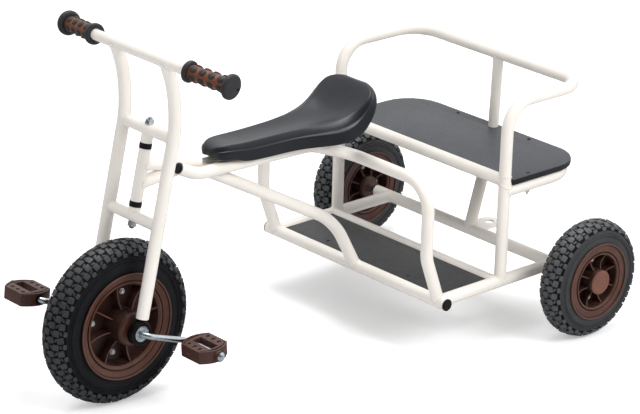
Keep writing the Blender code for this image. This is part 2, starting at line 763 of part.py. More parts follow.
def build_boards():
    front = FOOT_FRONT_Y + TUBE_R + SEAT_GAP
    rear = FOOT_REAR_Y - TUBE_R - SEAT_GAP
    half = FRAME_HALF - TUBE_R - SEAT_GAP
    low = at(-half, front, FLOOR_TUBE_Z - FOOTPLATE_THICKNESS / 2)
    high = at(half, rear, FLOOR_TUBE_Z + FOOTPLATE_THICKNESS / 2)
    mesh = box_mesh(low, high)
    hoops = [grown(hoop_path()), grown(mirror_x(hoop_path())), grown(down_path())]
    mesh = combine(mesh, hoops, "DIFFERENCE")
    add_object("footplate", mesh, grey_board(), None, FLAT_SMOOTH)
    bench_front = UPRIGHT_Y + TUBE_R + SEAT_GAP
    corners = [(-BENCH_HALF, bench_front), (BENCH_HALF, bench_front), (BENCH_HALF, BENCH_REAR_Y),
               (-BENCH_HALF, BENCH_REAR_Y)]
    outline = rounded_outline([(x, y + REAR_AXLE_Y) for x, y in corners],
                              [0, 0, BENCH_CORNER_R, BENCH_CORNER_R])
    mesh = prism_mesh(outline, BENCH_TOP_Z - BENCH_THICKNESS, BENCH_TOP_Z)
    mesh = combine(mesh, [grown(post_path(), POST_R)], "DIFFERENCE")
    add_object("bench_board", mesh, grey_board(), None, FLAT_SMOOTH)


# Saddle

def build_saddle():
    outer = []
    inner = []
    for share in SADDLE_STATION_SHARES:
        along, rise, crest, bulge, edge, depth, sink, tilt = share
        centre = at(0, SADDLE_NOSE_Y + SADDLE_LENGTH * along, SADDLE_BASE_Z + SADDLE_RISE * rise)
        up = Vector((0, -math.sin(math.radians(tilt)), math.cos(math.radians(tilt))))
        for rows, points in zip((outer, inner), saddle_section(crest, bulge, edge, depth, sink)):
            rows.append([centre + Vector((u, 0, 0)) + up * v for u, v in points])
    tubes = [grown(seat_path()), grown(mirror_x(seat_path()))]
    ribs = combine(joined(saddle_ribs(outer)), tubes, "DIFFERENCE")
    mesh = combine(shell_mesh(outer, inner, *SADDLE_HOLLOW), [ribs], "UNION")
    add_object("saddle", mesh, saddle_plastic(), None, SADDLE_SMOOTH)


def saddle_section(crest, bulge, edge, depth, sink):
    # The outer and inner outlines from the left lower edge over the top to the right lower edge
    side = SADDLE_DEPTH * depth
    half = [(0, -sink * SADDLE_DEPTH)]
    for across, down in SADDLE_TOP_SHARES:
        half.append((crest * across * SADDLE_HALF_WIDTH, -sink * SADDLE_DEPTH * down))
    for across, down in SADDLE_FLANK_SHARES:
        half.append(((crest + (bulge - crest) * across) * SADDLE_HALF_WIDTH, -side * down))
    half.append((edge * SADDLE_HALF_WIDTH, -side))
    within = [(max(u - SADDLE_WALL, 0), v - SADDLE_WALL * (1 + v / side)) for u, v in half]
    return [[(-u, v) for u, v in reversed(points[1:])] + points for points in (half, within)]


def shell_mesh(outer, inner, first, last):
    # Lofts a shell whose underside is open between two stations and closed before and after them
    bm = bmesh.new()
    skin = [[bm.verts.new(point) for point in row] for row in outer]
    lining = {index: [bm.verts.new(point) for point in inner[index]] for index in range(first, last + 1)}
    steps = range(len(outer[0]) - 1)
    for index in range(len(skin) - 1):
        ring, following = skin[index], skin[index + 1]
        for step in steps:
            bm.faces.new((ring[step], ring[step + 1], following[step + 1], following[step]))
        near, far = lining.get(index), lining.get(index + 1)
        if near and far:
            for step in steps:
                bm.faces.new((near[step], far[step], far[step + 1], near[step + 1]))
            for end in (0, -1):
                bm.faces.new((ring[end], following[end], far[end], near[end]))
        elif far:
            bm.faces.new((ring[0], following[0], far[0], far[-1], following[-1], ring[-1]))
            bm.faces.new(far)
        elif near:
            bm.faces.new((following[0], ring[0], near[0], near[-1], ring[-1], following[-1]))
            bm.faces.new(near)
        else:
            bm.faces.new((ring[0], following[0], following[-1], ring[-1]))
    bm.faces.new(skin[0])
    bm.faces.new(skin[-1])
    return mesh_from(bm)


def saddle_ribs(outer):
    # Cross ribs between the side walls, near their lower edges
    ribs = []
    for index in SADDLE_RIBS:
        edge = outer[index][-1]
        half = edge.x - SADDLE_WALL / 2
        low = Vector((-half, edge.y - SADDLE_RIB_THICKNESS / 2, edge.z + SEAT_GAP))
        high = Vector((half, edge.y + SADDLE_RIB_THICKNESS / 2, edge.z + SADDLE_RIB_HEIGHT))
        ribs.append(box_mesh(low, high))
    return ribs


# Steered fork and handlebar

def build_fork(carrier):
    handle = handlebar_path()
    mesh = rod_mesh(handle, SMALL_TUBE_R)
    add_object("handlebar", mesh, cream_paint(), carrier, TUBE_SMOOTH)
    for side, name in ((1, "left"), (-1, "right")):
        path = fork_path() if side > 0 else mirror_x(fork_path())
        mesh = combine(rod_mesh(path, TUBE_R), [grown(handle, SMALL_TUBE_R)], "DIFFERENCE")
        add_object("fork_tube_" + name, mesh, cream_paint(), carrier, TUBE_SMOOTH)
    bolt_bore = cylinder_mesh(steer(0, LOWER_CROSSBAR - 2 * OVERRUN), steer(0, UPPER_CROSSBAR + 2 * OVERRUN),
                              BOLT_R + BOLT_CLEARANCE, BORE_SIDES)
    forks = [fork_path(), mirror_x(fork_path())]
    for along, name, stub_end in ((LOWER_CROSSBAR, "lower", HEAD_LOW - BUSH_HEIGHT - SEAT_GAP),
                                  (UPPER_CROSSBAR, "upper", HEAD_HIGH + BUSH_HEIGHT + SEAT_GAP)):
        bar = rod_mesh(crossbar_path(along), SMALL_TUBE_R)
        stub = cylinder_mesh(steer(0, along), steer(0, stub_end), HEAD_TUBE_R, TUBE_SIDES)
        bar = combine(bar, [stub], "UNION")
        bar = combine(bar, [grown(fork) for fork in forks] + [bolt_bore], "DIFFERENCE")
        add_object("fork_crossbar_" + name, bar, cream_paint(), carrier, TUBE_SMOOTH)
    for start, name in ((HEAD_LOW - BUSH_HEIGHT, "lower"), (HEAD_HIGH + SEAT_GAP, "upper")):
        ring = [(0, BOLT_R + BOLT_CLEARANCE), (0, BUSH_R), (BUSH_HEIGHT - SEAT_GAP, BUSH_R),
                (BUSH_HEIGHT - SEAT_GAP, BOLT_R + BOLT_CLEARANCE)]
        mesh = turned_mesh(ring, steer(0, start), STEER_UP, CUTTER_SIDES)
        add_object("steering_bush_" + name, mesh, black_plastic(), carrier, TUBE_SMOOTH)
    low = LOWER_CROSSBAR - SMALL_TUBE_R - SEAT_GAP
    high = UPPER_CROSSBAR + SMALL_TUBE_R + SEAT_GAP
    mesh = cylinder_mesh(steer(0, low - NUT_HEIGHT), steer(0, high + NUT_HEIGHT), BOLT_R, ROD_SIDES)
    for start, way in ((low, -1), (high, 1)):
        nut = cylinder_mesh(steer(0, start), steer(0, start + way * NUT_HEIGHT), NUT_R, NUT_SIDES)
        dome = [(0, 0), (0, NUT_DOME_R), (NUT_HEIGHT, NUT_DOME_R),
                (NUT_HEIGHT + NUT_DOME * 3 / 4, NUT_DOME_R * 2 / 3), (NUT_HEIGHT + NUT_DOME, 0)]
        mesh = combine(mesh, [nut, turned_mesh(dome, steer(0, start), STEER_UP * way, ROD_SIDES)], "UNION")
    add_object("steering_bolt", mesh, bright_steel(), carrier, TUBE_SMOOTH)


def build_bearings(carrier):
    for side, name in ((1, "left"), (-1, "right")):
        centre = FRONT_AXLE + Vector((side * BEARING_OFFSET, 0, 0))
        along = Vector((side, 0, 0))
        rim = BEARING_R - BEARING_EDGE
        edge = BEARING_HALF_WIDTH - BEARING_EDGE
        drum = [(-BEARING_HALF_WIDTH, 0), (-BEARING_HALF_WIDTH, rim), (-edge, BEARING_R), (edge, BEARING_R),
                (BEARING_HALF_WIDTH, rim), (BEARING_HALF_WIDTH, 0)]
        mesh = turned_mesh(drum, centre, along, DRUM_SIDES)
        offset = side * BEARING_OFFSET
        socket = cylinder_mesh(steer(offset, 0), steer(offset, FORK_FOOT - SEAT_GAP), SOCKET_R, BORE_SIDES)
        mesh = combine(mesh, [socket], "UNION")
        inner = CRANK_ROD_R + AXLE_CLEARANCE
        beyond = centre + along * OVERRUN
        bore = cylinder_mesh(centre - along * OVERRUN, beyond, inner, BORE_SIDES)
        floor = centre + along * (BEARING_HALF_WIDTH - FACE_THICKNESS)
        recess = cylinder_mesh(floor, beyond, FACE_R + SEAT_GAP, CUTTER_SIDES)
        mesh = combine(mesh, [bore, recess], "DIFFERENCE")
        add_object("bearing_block_" + name, mesh, black_plastic(), carrier, TUBE_SMOOTH)
        start = BEARING_HALF_WIDTH - FACE_THICKNESS + SEAT_GAP
        ring = [(start, inner), (start, FACE_R), (start + FACE_THICKNESS, FACE_R),
                (start + FACE_THICKNESS, inner)]
        mesh = turned_mesh(ring, centre, along, CUTTER_SIDES)
        add_object("bearing_face_" + name, mesh, bright_steel(), carrier, TUBE_SMOOTH)


def build_grips(carrier):
    bore = SMALL_TUBE_R + SEAT_GAP
    for side, name in ((1, "left"), (-1, "right")):
        axis = grip_axis(side)
        stop = axis.length + SEAT_GAP
        profile = [(GRIP_START, bore), (GRIP_START, GRIP_INNER_FLANGE_R - GRIP_ROUND),
                   (GRIP_START + GRIP_ROUND, GRIP_INNER_FLANGE_R),
                   (GRIP_START + GRIP_FLANGE_WIDTH - GRIP_ROUND, GRIP_INNER_FLANGE_R),
                   (GRIP_START + GRIP_FLANGE_WIDTH, GRIP_INNER_FLANGE_R - GRIP_ROUND),
                   (GRIP_START + GRIP_FLANGE_WIDTH, GRIP_R), (GRIP_END - GRIP_END_WIDTH, GRIP_R),
                   (GRIP_END - GRIP_END_WIDTH, GRIP_END_R - GRIP_ROUND),
                   (GRIP_END - GRIP_END_WIDTH + GRIP_ROUND, GRIP_END_R), (GRIP_END - GRIP_ROUND, GRIP_END_R),
                   (GRIP_END, GRIP_END_R - GRIP_ROUND), (GRIP_END, 0), (stop, 0), (stop, bore)]
        mesh = turned_mesh(profile, grip_corner(side), axis, CUTTER_SIDES)
        add_object("grip_" + name, mesh, orange_rubber(), carrier, TUBE_SMOOTH)


# Wheels

def tyre_mesh(centre, radius, half_width, bead_r, bead_half, columns):
    # A solid ring section, its tread vertices raised and lowered in a staggered lug pattern
    core = radius - LUG_HEIGHT
    height = core - bead_r
    section = [(-bead_half, bead_r, 0)]
    for x_share, r_share, lug in TYRE_SECTION_SHARES:
        section.append((-half_width * x_share, bead_r + height * r_share, lug))
    section.append((0, core, 1))
    for x_share, r_share, lug in reversed(TYRE_SECTION_SHARES):
        section.append((half_width * x_share, bead_r + height * r_share, lug))
    section.append((bead_half, bead_r, 0))
    bm = bmesh.new()
    rings = []
    for column in range(columns):
        angle = 2 * math.pi * column / columns
        ring = []
        for row, (x, r, lug) in enumerate(section):
            if lug and (row + column) % 2 == 1:
                r += LUG_HEIGHT
            ring.append(bm.verts.new(centre + Vector((x, r * math.sin(angle), r * math.cos(angle)))))
        rings.append(ring)
    count = len(section)
    for ring, following in zip(rings, rings[1:] + rings[:1]):
        for index in range(count):
            nearby = (index + 1) % count
            bm.faces.new((ring[index], ring[nearby], following[nearby], following[index]))
    return mesh_from(bm)


def rim_mesh(centre, rim, bore_r, segments):
    # A moulded rim: rolled edges, bead seats, a broad sloping face, a dish, a web and a drum hub
    sizes = ("edge_r", "half", "face_r", "hub_r", "hub_half")
    edge_r, half, face_r, hub_r, hub_half = (rim[size] for size in sizes)
    seat_r = edge_r - BEAD_DEPTH
    face = half - rim["face_inset"]
    mouth = half - rim["rib_inset"]
    mouth_r = rim["dish_r"] + RIM_DRAFT
    hub = [(hub_half, bore_r), (hub_half, hub_r - HUB_EDGE), (hub_half - HUB_EDGE, hub_r), (RIM_WEB, hub_r)]
    dish = [(RIM_WEB, rim["dish_r"]), (mouth, mouth_r), (face - RIM_ROLL, face_r - 2 * RIM_ROLL),
            (face, face_r)]
    lip = [(half - 2 * RIM_ROLL, edge_r - 2 * RIM_ROLL), (half, edge_r - RIM_ROLL), (half - RIM_ROLL, edge_r),
           (half - RIM_LIP, seat_r),
           (half - RIM_LIP - RIM_SEAT, seat_r - RIM_DROP)]
    side = hub + dish + lip
    base = turned_mesh(side + [(-x, r) for x, r in reversed(side)], centre, (1, 0, 0), segments)
    inner = hub_r - RIB_SINK
    reach = mouth_r + RIB_SINK - inner
    shares = [step / RIB_STEPS for step in range(RIB_STEPS + 1)]
    scallop = [(inner + reach * share, mouth - RIB_DIP * math.sin(math.pi * share)) for share in shares]
    outline = scallop + [(u, -v) for u, v in reversed(scallop)]
    ribs = []
    for index in range(RIB_COUNT):
        turn = rim["first_rib"] + 2 * math.pi * index / RIB_COUNT
        radial = Vector((0, math.sin(turn), math.cos(turn)))
        across = Vector((0, math.cos(turn), -math.sin(turn)))
        ribs.append(prism_mesh(outline, -RIB_THICKNESS / 2, RIB_THICKNESS / 2,
                               lambda u, v, w: centre + radial * u + Vector((v, 0, 0)) + across * w))
    return combine(base, [joined(ribs)], "UNION")


def build_front_wheel(carrier):
    seat_r = FRONT_RIM_R - BEAD_DEPTH
    mesh = tyre_mesh(FRONT_AXLE, FRONT_TYRE_R, FRONT_TYRE_HALF_WIDTH, seat_r + SEAT_GAP,
                     FRONT_RIM_HALF_WIDTH - RIM_LIP - SEAT_GAP, FRONT_TYRE_COLUMNS)
    add_object("front_tyre", mesh, tyre_rubber(), carrier, FLAT_SMOOTH)
    rim = {"edge_r": FRONT_RIM_R, "half": FRONT_RIM_HALF_WIDTH, "face_r": FRONT_FACE_R,
           "face_inset": FRONT_FACE_INSET, "dish_r": FRONT_DISH_R, "hub_r": FRONT_HUB_R,
           "hub_half": FRONT_HUB_HALF_WIDTH, "rib_inset": FRONT_RIB_INSET, "first_rib": FRONT_FIRST_RIB}
    mesh = rim_mesh(FRONT_AXLE, rim, CRANK_ROD_R + SEAT_GAP, FRONT_RIM_SEGMENTS)
    add_object("front_rim", mesh, brown_plastic(), carrier, TUBE_SMOOTH)
    build_crank(carrier)


def build_crank(carrier):
    # One bent rod is the front axle, both cranks and both pedal pins, with a push nut on each end
    end = PEDAL_BOSS_END + PEDAL_CLEARANCE
    pedal = pedal_place()
    arm = [Vector((CRANK_ARM_INNER, 0, 0)), pedal + Vector((CRANK_ARM_OUTER, 0, 0)),
           pedal + Vector((end, 0, 0))]
    path = [FRONT_AXLE - point for point in reversed(arm)] + [FRONT_AXLE + point for point in arm]
    mesh = rod_mesh(rounded(path, CRANK_BEND_R, CRANK_TURN_STEP), CRANK_ROD_R, ROD_SIDES)
    for side in (1, -1):
        nut = [(-SEAT_GAP, 0), (-SEAT_GAP, CRANK_ROD_R), (0, PEDAL_NUT_R),
               (PEDAL_NUT_HEIGHT - PEDAL_NUT_EDGE, PEDAL_NUT_R),
               (PEDAL_NUT_HEIGHT, PEDAL_NUT_R - PEDAL_NUT_EDGE), (PEDAL_NUT_HEIGHT, 0)]
        place = FRONT_AXLE + arm[-1] * side
        mesh = combine(mesh, [turned_mesh(nut, place, (side, 0, 0), ROD_SIDES)], "UNION")
    add_object("crank_axle", mesh, bright_steel(), carrier, TUBE_SMOOTH)


def pedal_place():
    return Vector((0, math.cos(CRANK_ANGLE), math.sin(CRANK_ANGLE))) * CRANK_R


def pedal_end(corner, bulge, half, narrow=0):
    # A bowed end from the front corner to the rear one
    points = []
    for step in range(PEDAL_END_STEPS + 1):
        share = 2 * step / PEDAL_END_STEPS - 1
        points.append((corner + bulge * (1 - share * share) + narrow, half * share))
    return points


def build_pedal(side, name, carrier):
    axle = FRONT_AXLE + pedal_place() * side

    def place(u, v, w):
        return axle + Vector((side * u, v, w))

    far = pedal_end(PEDAL_FAR_CORNER, PEDAL_OUTER_BULGE, PEDAL_HALF_LENGTH)
    near = pedal_end(PEDAL_NEAR_CORNER, -PEDAL_CORNER_INSET, PEDAL_HALF_LENGTH)
    block = prism_mesh(far + near[::-1], -PEDAL_HALF_HEIGHT, PEDAL_HALF_HEIGHT, place)
    boss = cylinder_mesh(place(PEDAL_OUTER - PEDAL_WALL, 0, 0), place(PEDAL_BOSS_END, 0, 0), PEDAL_BOSS_R,
                         BORE_SIDES)
    cut_height = PEDAL_HALF_HEIGHT + OVERRUN
    cutters = []
    ends = ((PEDAL_FAR_CORNER, PEDAL_OUTER_BULGE, 1), (PEDAL_NEAR_CORNER, -PEDAL_CORNER_INSET, -1))
    for corner, bulge, way in ends:
        wall = bulge * (1 - (PEDAL_SLOT_HALF / PEDAL_HALF_LENGTH) ** 2) - way * PEDAL_WALL
        outer = pedal_end(corner + wall, bulge - wall - way * PEDAL_WALL, PEDAL_SLOT_HALF)
        inner = pedal_end(corner + wall, bulge - wall - way * (PEDAL_WALL + PEDAL_SLOT), PEDAL_SLOT_HALF)
        cutters.append(prism_mesh(outer + inner[-2:0:-1], -cut_height, cut_height, place))
    opening = [(PEDAL_INNER + PEDAL_OPENING_INSET + u, v)
               for u, v in ((0, -PEDAL_OPENING_HALF), (PEDAL_OPENING_LENGTH, -PEDAL_OPENING_HALF),
                            (PEDAL_OPENING_LENGTH, PEDAL_OPENING_HALF), (0, PEDAL_OPENING_HALF))]
    cutters.append(prism_mesh(opening, -cut_height, cut_height, place))
    cutters.append(cylinder_mesh(place(PEDAL_INNER - OVERRUN, 0, 0), place(PEDAL_BOSS_END + OVERRUN, 0, 0),
                                 CRANK_ROD_R + PEDAL_CLEARANCE, BORE_SIDES))
    middle = (PEDAL_NEAR_CORNER + PEDAL_FAR_CORNER) / 2
    recesses = []
    for index in range(PEDAL_RECESS_COUNT):
        u = middle + (index - (PEDAL_RECESS_COUNT - 1) / 2) * PEDAL_RECESS_PITCH
        for v in (-PEDAL_RECESS_ROW, PEDAL_RECESS_ROW):
            for way in (-1, 1):
                floor = place(u, v, way * (PEDAL_HALF_HEIGHT - PEDAL_RECESS_DEPTH))
                mouth = place(u, v, way * cut_height)
                recesses.append(cylinder_mesh(floor, mouth, PEDAL_RECESS_R, SMALL_SIDES))
    mesh = combine(combine(block, [boss], "UNION"), cutters + [joined(recesses)], "DIFFERENCE")
    turn = Matrix.Rotation(PEDAL_TILTS[name], 4, "X")
    mesh.transform(Matrix.Translation(axle) @ turn @ Matrix.Translation(-axle))
    add_object("pedal_" + name, mesh, pedal_plastic(), carrier, TUBE_SMOOTH)


def build_rear_wheel(side, name, carrier):
    centre = at(side * REAR_TRACK_HALF, 0, REAR_TYRE_R)
    seat_r = REAR_RIM_R - BEAD_DEPTH
    mesh = tyre_mesh(centre, REAR_TYRE_R, REAR_TYRE_HALF_WIDTH, seat_r + SEAT_GAP,
                     REAR_RIM_HALF_WIDTH - RIM_LIP - SEAT_GAP, REAR_TYRE_COLUMNS)
    add_object("rear_tyre_" + name, mesh, tyre_rubber(), carrier, FLAT_SMOOTH)
    rim = {"edge_r": REAR_RIM_R, "half": REAR_RIM_HALF_WIDTH, "face_r": REAR_FACE_R,
           "face_inset": REAR_FACE_INSET, "dish_r": REAR_DISH_R, "hub_r": HUB_CAP_R,
           "hub_half": REAR_HUB_HALF_WIDTH, "rib_inset": REAR_RIB_INSET, "first_rib": REAR_FIRST_RIB}
    mesh = rim_mesh(centre, rim, AXLE_R + AXLE_CLEARANCE, REAR_RIM_SEGMENTS)
    add_object("rear_rim_" + name, mesh, brown_plastic(), carrier, TUBE_SMOOTH)
    start = REAR_HUB_HALF_WIDTH + SEAT_GAP
    cap = [(start, 0), (start, HUB_CAP_R), (start + HUB_CAP_THICKNESS / 2, HUB_CAP_R),
           (start + HUB_CAP_THICKNESS, HUB_CAP_R - HUB_CAP_EDGE), (start + HUB_CAP_THICKNESS, 0)]
    mesh = turned_mesh(cap, centre, (side, 0, 0), DRUM_SIDES)
    add_object("hub_cap_" + name, mesh, brown_plastic(), carrier, TUBE_SMOOTH)


def build_rear_axle():
    reach = REAR_TRACK_HALF + REAR_HUB_HALF_WIDTH - AXLE_END_INSET
    mesh = cylinder_mesh(at(-reach, 0, REAR_TYRE_R), at(reach, 0, REAR_TYRE_R), AXLE_R, BORE_SIDES)
    add_object("rear_axle", mesh, bright_steel(), None, TUBE_SMOOTH)
    gap = REAR_TRACK_HALF - REAR_HUB_HALF_WIDTH
    for side, name in ((1, "left"), (-1, "right")):
        start = AXLE_TUBE_HALF + SEAT_GAP
        end = gap - SPACER_CLEARANCE
        inner = AXLE_R + AXLE_CLEARANCE
        ring = [(start, inner), (start, SPACER_R), (end, SPACER_R), (end, inner)]
        mesh = turned_mesh(ring, at(0, 0, REAR_TYRE_R), (side, 0, 0), BORE_SIDES)
        add_object("axle_spacer_" + name, mesh, bright_steel(), None, TUBE_SMOOTH)


def main():
    for item in list(bpy.data.objects):
        bpy.data.objects.remove(item)
    build_frame()
    build_tow_plate()
    build_caps()
    build_boards()
    build_saddle()
    build_rear_axle()
    steering = pivot("steering_pivot", FRONT_AXLE)
    build_fork(steering)
    build_bearings(steering)
    build_grips(steering)
    wheel = pivot("front_wheel_pivot", FRONT_AXLE, steering)
    build_front_wheel(wheel)
    for side, name in ((1, "left"), (-1, "right")):
        pedal = pivot("pedal_pivot_" + name, FRONT_AXLE + pedal_place() * side, wheel)
        build_pedal(side, name, pedal)
        rear = pivot("rear_wheel_pivot_" + name, at(side * REAR_TRACK_HALF, 0, REAR_TYRE_R))
        build_rear_wheel(side, name, rear)


main()
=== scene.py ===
# Looks of the children's tricycle taxi: finishes, fine meshes, camera, floor and lights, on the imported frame
import math

import bmesh
import bpy
from mathutils import Matrix, Vector


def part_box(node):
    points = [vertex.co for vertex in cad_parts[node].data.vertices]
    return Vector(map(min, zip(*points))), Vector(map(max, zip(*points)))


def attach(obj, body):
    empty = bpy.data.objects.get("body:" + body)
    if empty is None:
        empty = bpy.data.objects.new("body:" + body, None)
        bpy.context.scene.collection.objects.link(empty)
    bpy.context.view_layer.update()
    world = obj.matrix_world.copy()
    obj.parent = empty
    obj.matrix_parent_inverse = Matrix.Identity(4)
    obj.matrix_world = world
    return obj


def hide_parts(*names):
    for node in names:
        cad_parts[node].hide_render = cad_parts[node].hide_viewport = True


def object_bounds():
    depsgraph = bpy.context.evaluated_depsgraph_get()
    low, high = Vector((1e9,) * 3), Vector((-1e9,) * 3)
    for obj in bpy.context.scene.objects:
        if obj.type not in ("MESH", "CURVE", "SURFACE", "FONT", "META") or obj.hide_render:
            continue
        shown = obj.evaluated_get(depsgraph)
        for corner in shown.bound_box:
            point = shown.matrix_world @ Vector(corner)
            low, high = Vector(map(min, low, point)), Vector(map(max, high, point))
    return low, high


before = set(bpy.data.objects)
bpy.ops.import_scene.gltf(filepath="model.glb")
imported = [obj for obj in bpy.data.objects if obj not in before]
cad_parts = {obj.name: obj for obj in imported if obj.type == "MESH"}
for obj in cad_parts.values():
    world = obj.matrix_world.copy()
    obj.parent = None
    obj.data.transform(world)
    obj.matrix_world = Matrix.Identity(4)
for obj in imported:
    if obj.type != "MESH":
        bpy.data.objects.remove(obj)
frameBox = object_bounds()

sides = {"left": 1, "right": -1}   # the rider's left is +X
mergeGap = 0.00002                 # points closer than this are one


def middleOf(node):
    low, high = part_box(node)
    return (low + high) / 2


# Places that many pieces share, read from the frame
tubeR, smallTubeR, stubR = 0.0125, 0.011, 0.0115
frontHub = middleOf("front_rim")
rearHubs = {side: middleOf("rear_rim_" + side) for side in sides}
axleY = middleOf("rear_axle").y
floorTubeZ = middleOf("rear_axle").z
railX = middleOf("side_rail_left").x
steerTilt = math.radians(12)
steerUp = Vector((0, math.sin(steerTilt), math.cos(steerTilt)))
steerAhead = Vector((0, -math.cos(steerTilt), math.sin(steerTilt)))


def at(x, aft, z):
    return Vector((x, axleY + aft, z))   # aft of the rear axle


def steered(x, along, ahead=0.0):
    return frontHub + Vector((x, 0, 0)) + steerUp * along + steerAhead * ahead


def otherSide(points):
    return [Vector((-point.x, point.y, point.z)) for point in points]


def turned(angle, axis="X"):
    return Matrix.Rotation(angle, 4, axis)


def moved(x=0, y=0, z=0):
    return Matrix.Translation((x, y, z))


def aimed(direction, axis, up):
    # the turn that takes an axis to a direction
    return direction.to_track_quat(axis, up).to_matrix().to_4x4()


def facing(way):
    # what is modelled for the left side stays, or is turned round for the right one
    return turned(0 if way > 0 else math.pi, "Z")


# Camera, at the photograph's own angle and distance
cameraView = {
    "place": (4.01366, -3.57645, 2.35523),   # metres, in the frame's own axes
    "azimuth": 47.7774,                      # degrees round from -Y towards +X
    "elevation": 21.0016,
    "roll": 1.5262,
    "lens": 162.574,                         # mm, on a sensor 36 mm wide
    "sensor": 36.0,
    "farthest": 60,
}


def addCamera(view):
    azimuth, elevation, roll = (math.radians(view[key]) for key in ("azimuth", "elevation", "roll"))
    back = Vector((math.sin(azimuth) * math.cos(elevation), -math.cos(azimuth) * math.cos(elevation),
                   math.sin(elevation)))
    level = Vector((math.cos(azimuth), math.sin(azimuth), 0))
    rise = back.cross(level)
    right = level * math.cos(roll) + rise * math.sin(roll)
    up = rise * math.cos(roll) - level * math.sin(roll)
    bpy.ops.object.camera_add(location=view["place"])
    camera = bpy.context.object
    camera.rotation_euler = Matrix((right, up, back)).transposed().to_euler()
    camera.data.sensor_width = view["sensor"]
    camera.data.lens = view["lens"]
    camera.data.clip_end = view["farthest"]
    bpy.context.scene.camera = camera


addCamera(cameraView)
bpy.context.scene.view_settings.view_transform = "Standard"
print("camera placed")


# Shader nodes: a socket is fed a link where the source is another node's socket, or else a plain value

def feed(socket, source):
    if hasattr(source, "node"):
        socket.id_data.links.new(source, socket)
    else:
        socket.default_value = source


def step(tree, kind, inputs, output=0, **settings):
    node = tree.nodes.new("ShaderNode" + kind)
    for name, value in settings.items():
        setattr(node, name, value)
    for label, source in inputs.items():
        feed(node.inputs[label], source)
    return node.outputs[output]


def blended(tree, factor, first, second):
    return step(tree, "Mix", {0: factor, 6: first, 7: second}, 2, data_type="RGBA")


def worked(tree, operation, first, second):
    return step(tree, "Math", {0: first, 1: second}, operation=operation)


def ranged(tree, value, low, high, toLow=0.0, toHigh=1.0, smooth=False):
    return step(tree, "MapRange", {"Value": value, "From Min": low, "From Max": high, "To Min": toLow,
                                   "To Max": toHigh}, interpolation_type="SMOOTHSTEP" if smooth else "LINEAR")


def placeOn(tree, kind="Object"):
    return step(tree, "TexCoord", {}, kind)


def rayIs(tree, kind):
    return step(tree, "LightPath", {}, "Is " + kind + " Ray")


def feedNode(tree, name, inputs):
    for label, source in inputs.items():
        feed(tree.nodes[name].inputs[label], source)


# Floor, backdrop colour and soft lamps
studio = {
    "floorSize": 60.0,
    "floorColour": (0.88, 0.88, 0.885),
    "floorLift": 0.34,            # added for the camera only, so that the lit floor reaches white
    "farFloor": (2.5, 7.0),       # between these distances the floor turns as white as the background
    "worldStrength": 0.46,
    "darkSide": (0.55, -0.80, -0.24),         # the way that the dark part of the studio lies
    "darkEdge": (-0.35, 0.55),                # how far round from it the change begins and ends
    "mirrorBright": 0.95,
    "mirrorDark": 0.10,
    "mirroredFloor": (0.34, 0.34, 0.345),
    "lamps": [
        # place, size, power, each aimed at the middle of the machine
        {"name": "keyLamp", "place": (4.4, 1.4, 4.0), "size": 2.6, "power": 210, "mirrored": False},
        {"name": "fillLamp", "place": (0.6, -4.6, 3.6), "size": 3.0, "power": 60, "mirrored": False},
        {"name": "topLamp", "place": (-0.6, 0.6, 5.2), "size": 3.0, "power": 150, "mirrored": True},
    ],
}


def addFloor(values):
    bpy.ops.mesh.primitive_plane_add(size=values["floorSize"], location=(0, 0, 0))
    floor = bpy.context.object
    floor.name = "floor"
    material = bpy.data.materials.new("pale_floor")
    material.use_nodes = True
    tree = material.node_tree
    away = step(tree, "VectorMath", {0: placeOn(tree)}, "Value", operation="LENGTH")
    lift = worked(tree, "MULTIPLY", rayIs(tree, "Camera"), ranged(tree, away, *values["farFloor"],
                                                                  values["floorLift"]))
    # in mirrored views the floor is greyer, so that black pieces stay black
    tone = blended(tree, rayIs(tree, "Glossy"), (*values["floorColour"], 1), (*values["mirroredFloor"], 1))
    feedNode(tree, "Principled BSDF", {"Base Color": tone, "Specular IOR Level": 0.1, "Roughness": 0.9,
                                       "Emission Color": (1, 1, 1, 1), "Emission Strength": lift})
    floor.data.materials.append(material)


def addWorld(values):
    world = bpy.data.worlds.new("studio_world")
    bpy.context.scene.world = world
    world.use_nodes = True
    tree = world.node_tree
    seen = worked(tree, "MAXIMUM", rayIs(tree, "Camera"), rayIs(tree, "Transmission"))
    plain = ranged(tree, seen, 0.0, 1.0, values["worldStrength"])
    # what glossy surfaces mirror: the studio is dark on the camera's side, bright behind and above
    towards = step(tree, "VectorMath", {0: placeOn(tree, "Generated"), 1: values["darkSide"]}, "Value",
                   operation="DOT_PRODUCT")
    mirrored = ranged(tree, towards, *values["darkEdge"], values["mirrorBright"], values["mirrorDark"], True)
    strength = step(tree, "Mix", {0: rayIs(tree, "Glossy"), 2: plain, 3: mirrored})
    feedNode(tree, "Background", {"Color": (1, 1, 1, 1), "Strength": strength})


def addLamps(values):
    middle = (Vector(frameBox[0]) + Vector(frameBox[1])) / 2
    for lamp in values["lamps"]:
        bpy.ops.object.light_add(type="AREA", location=lamp["place"])
        light = bpy.context.object
        light.name = lamp["name"]
        light.data.size = lamp["size"]
        light.data.energy = lamp["power"]
        light.visible_glossy = lamp["mirrored"]
        light.rotation_euler = (Vector(lamp["place"]) - middle).to_track_quat("Z", "Y").to_euler()


addFloor(studio)
addWorld(studio)
addLamps(studio)
print("floor, world and lamps placed")


# Shared effects, each a node group with its own values in every finish that uses it

def grey(tone):
    return tone, tone, tone, 1


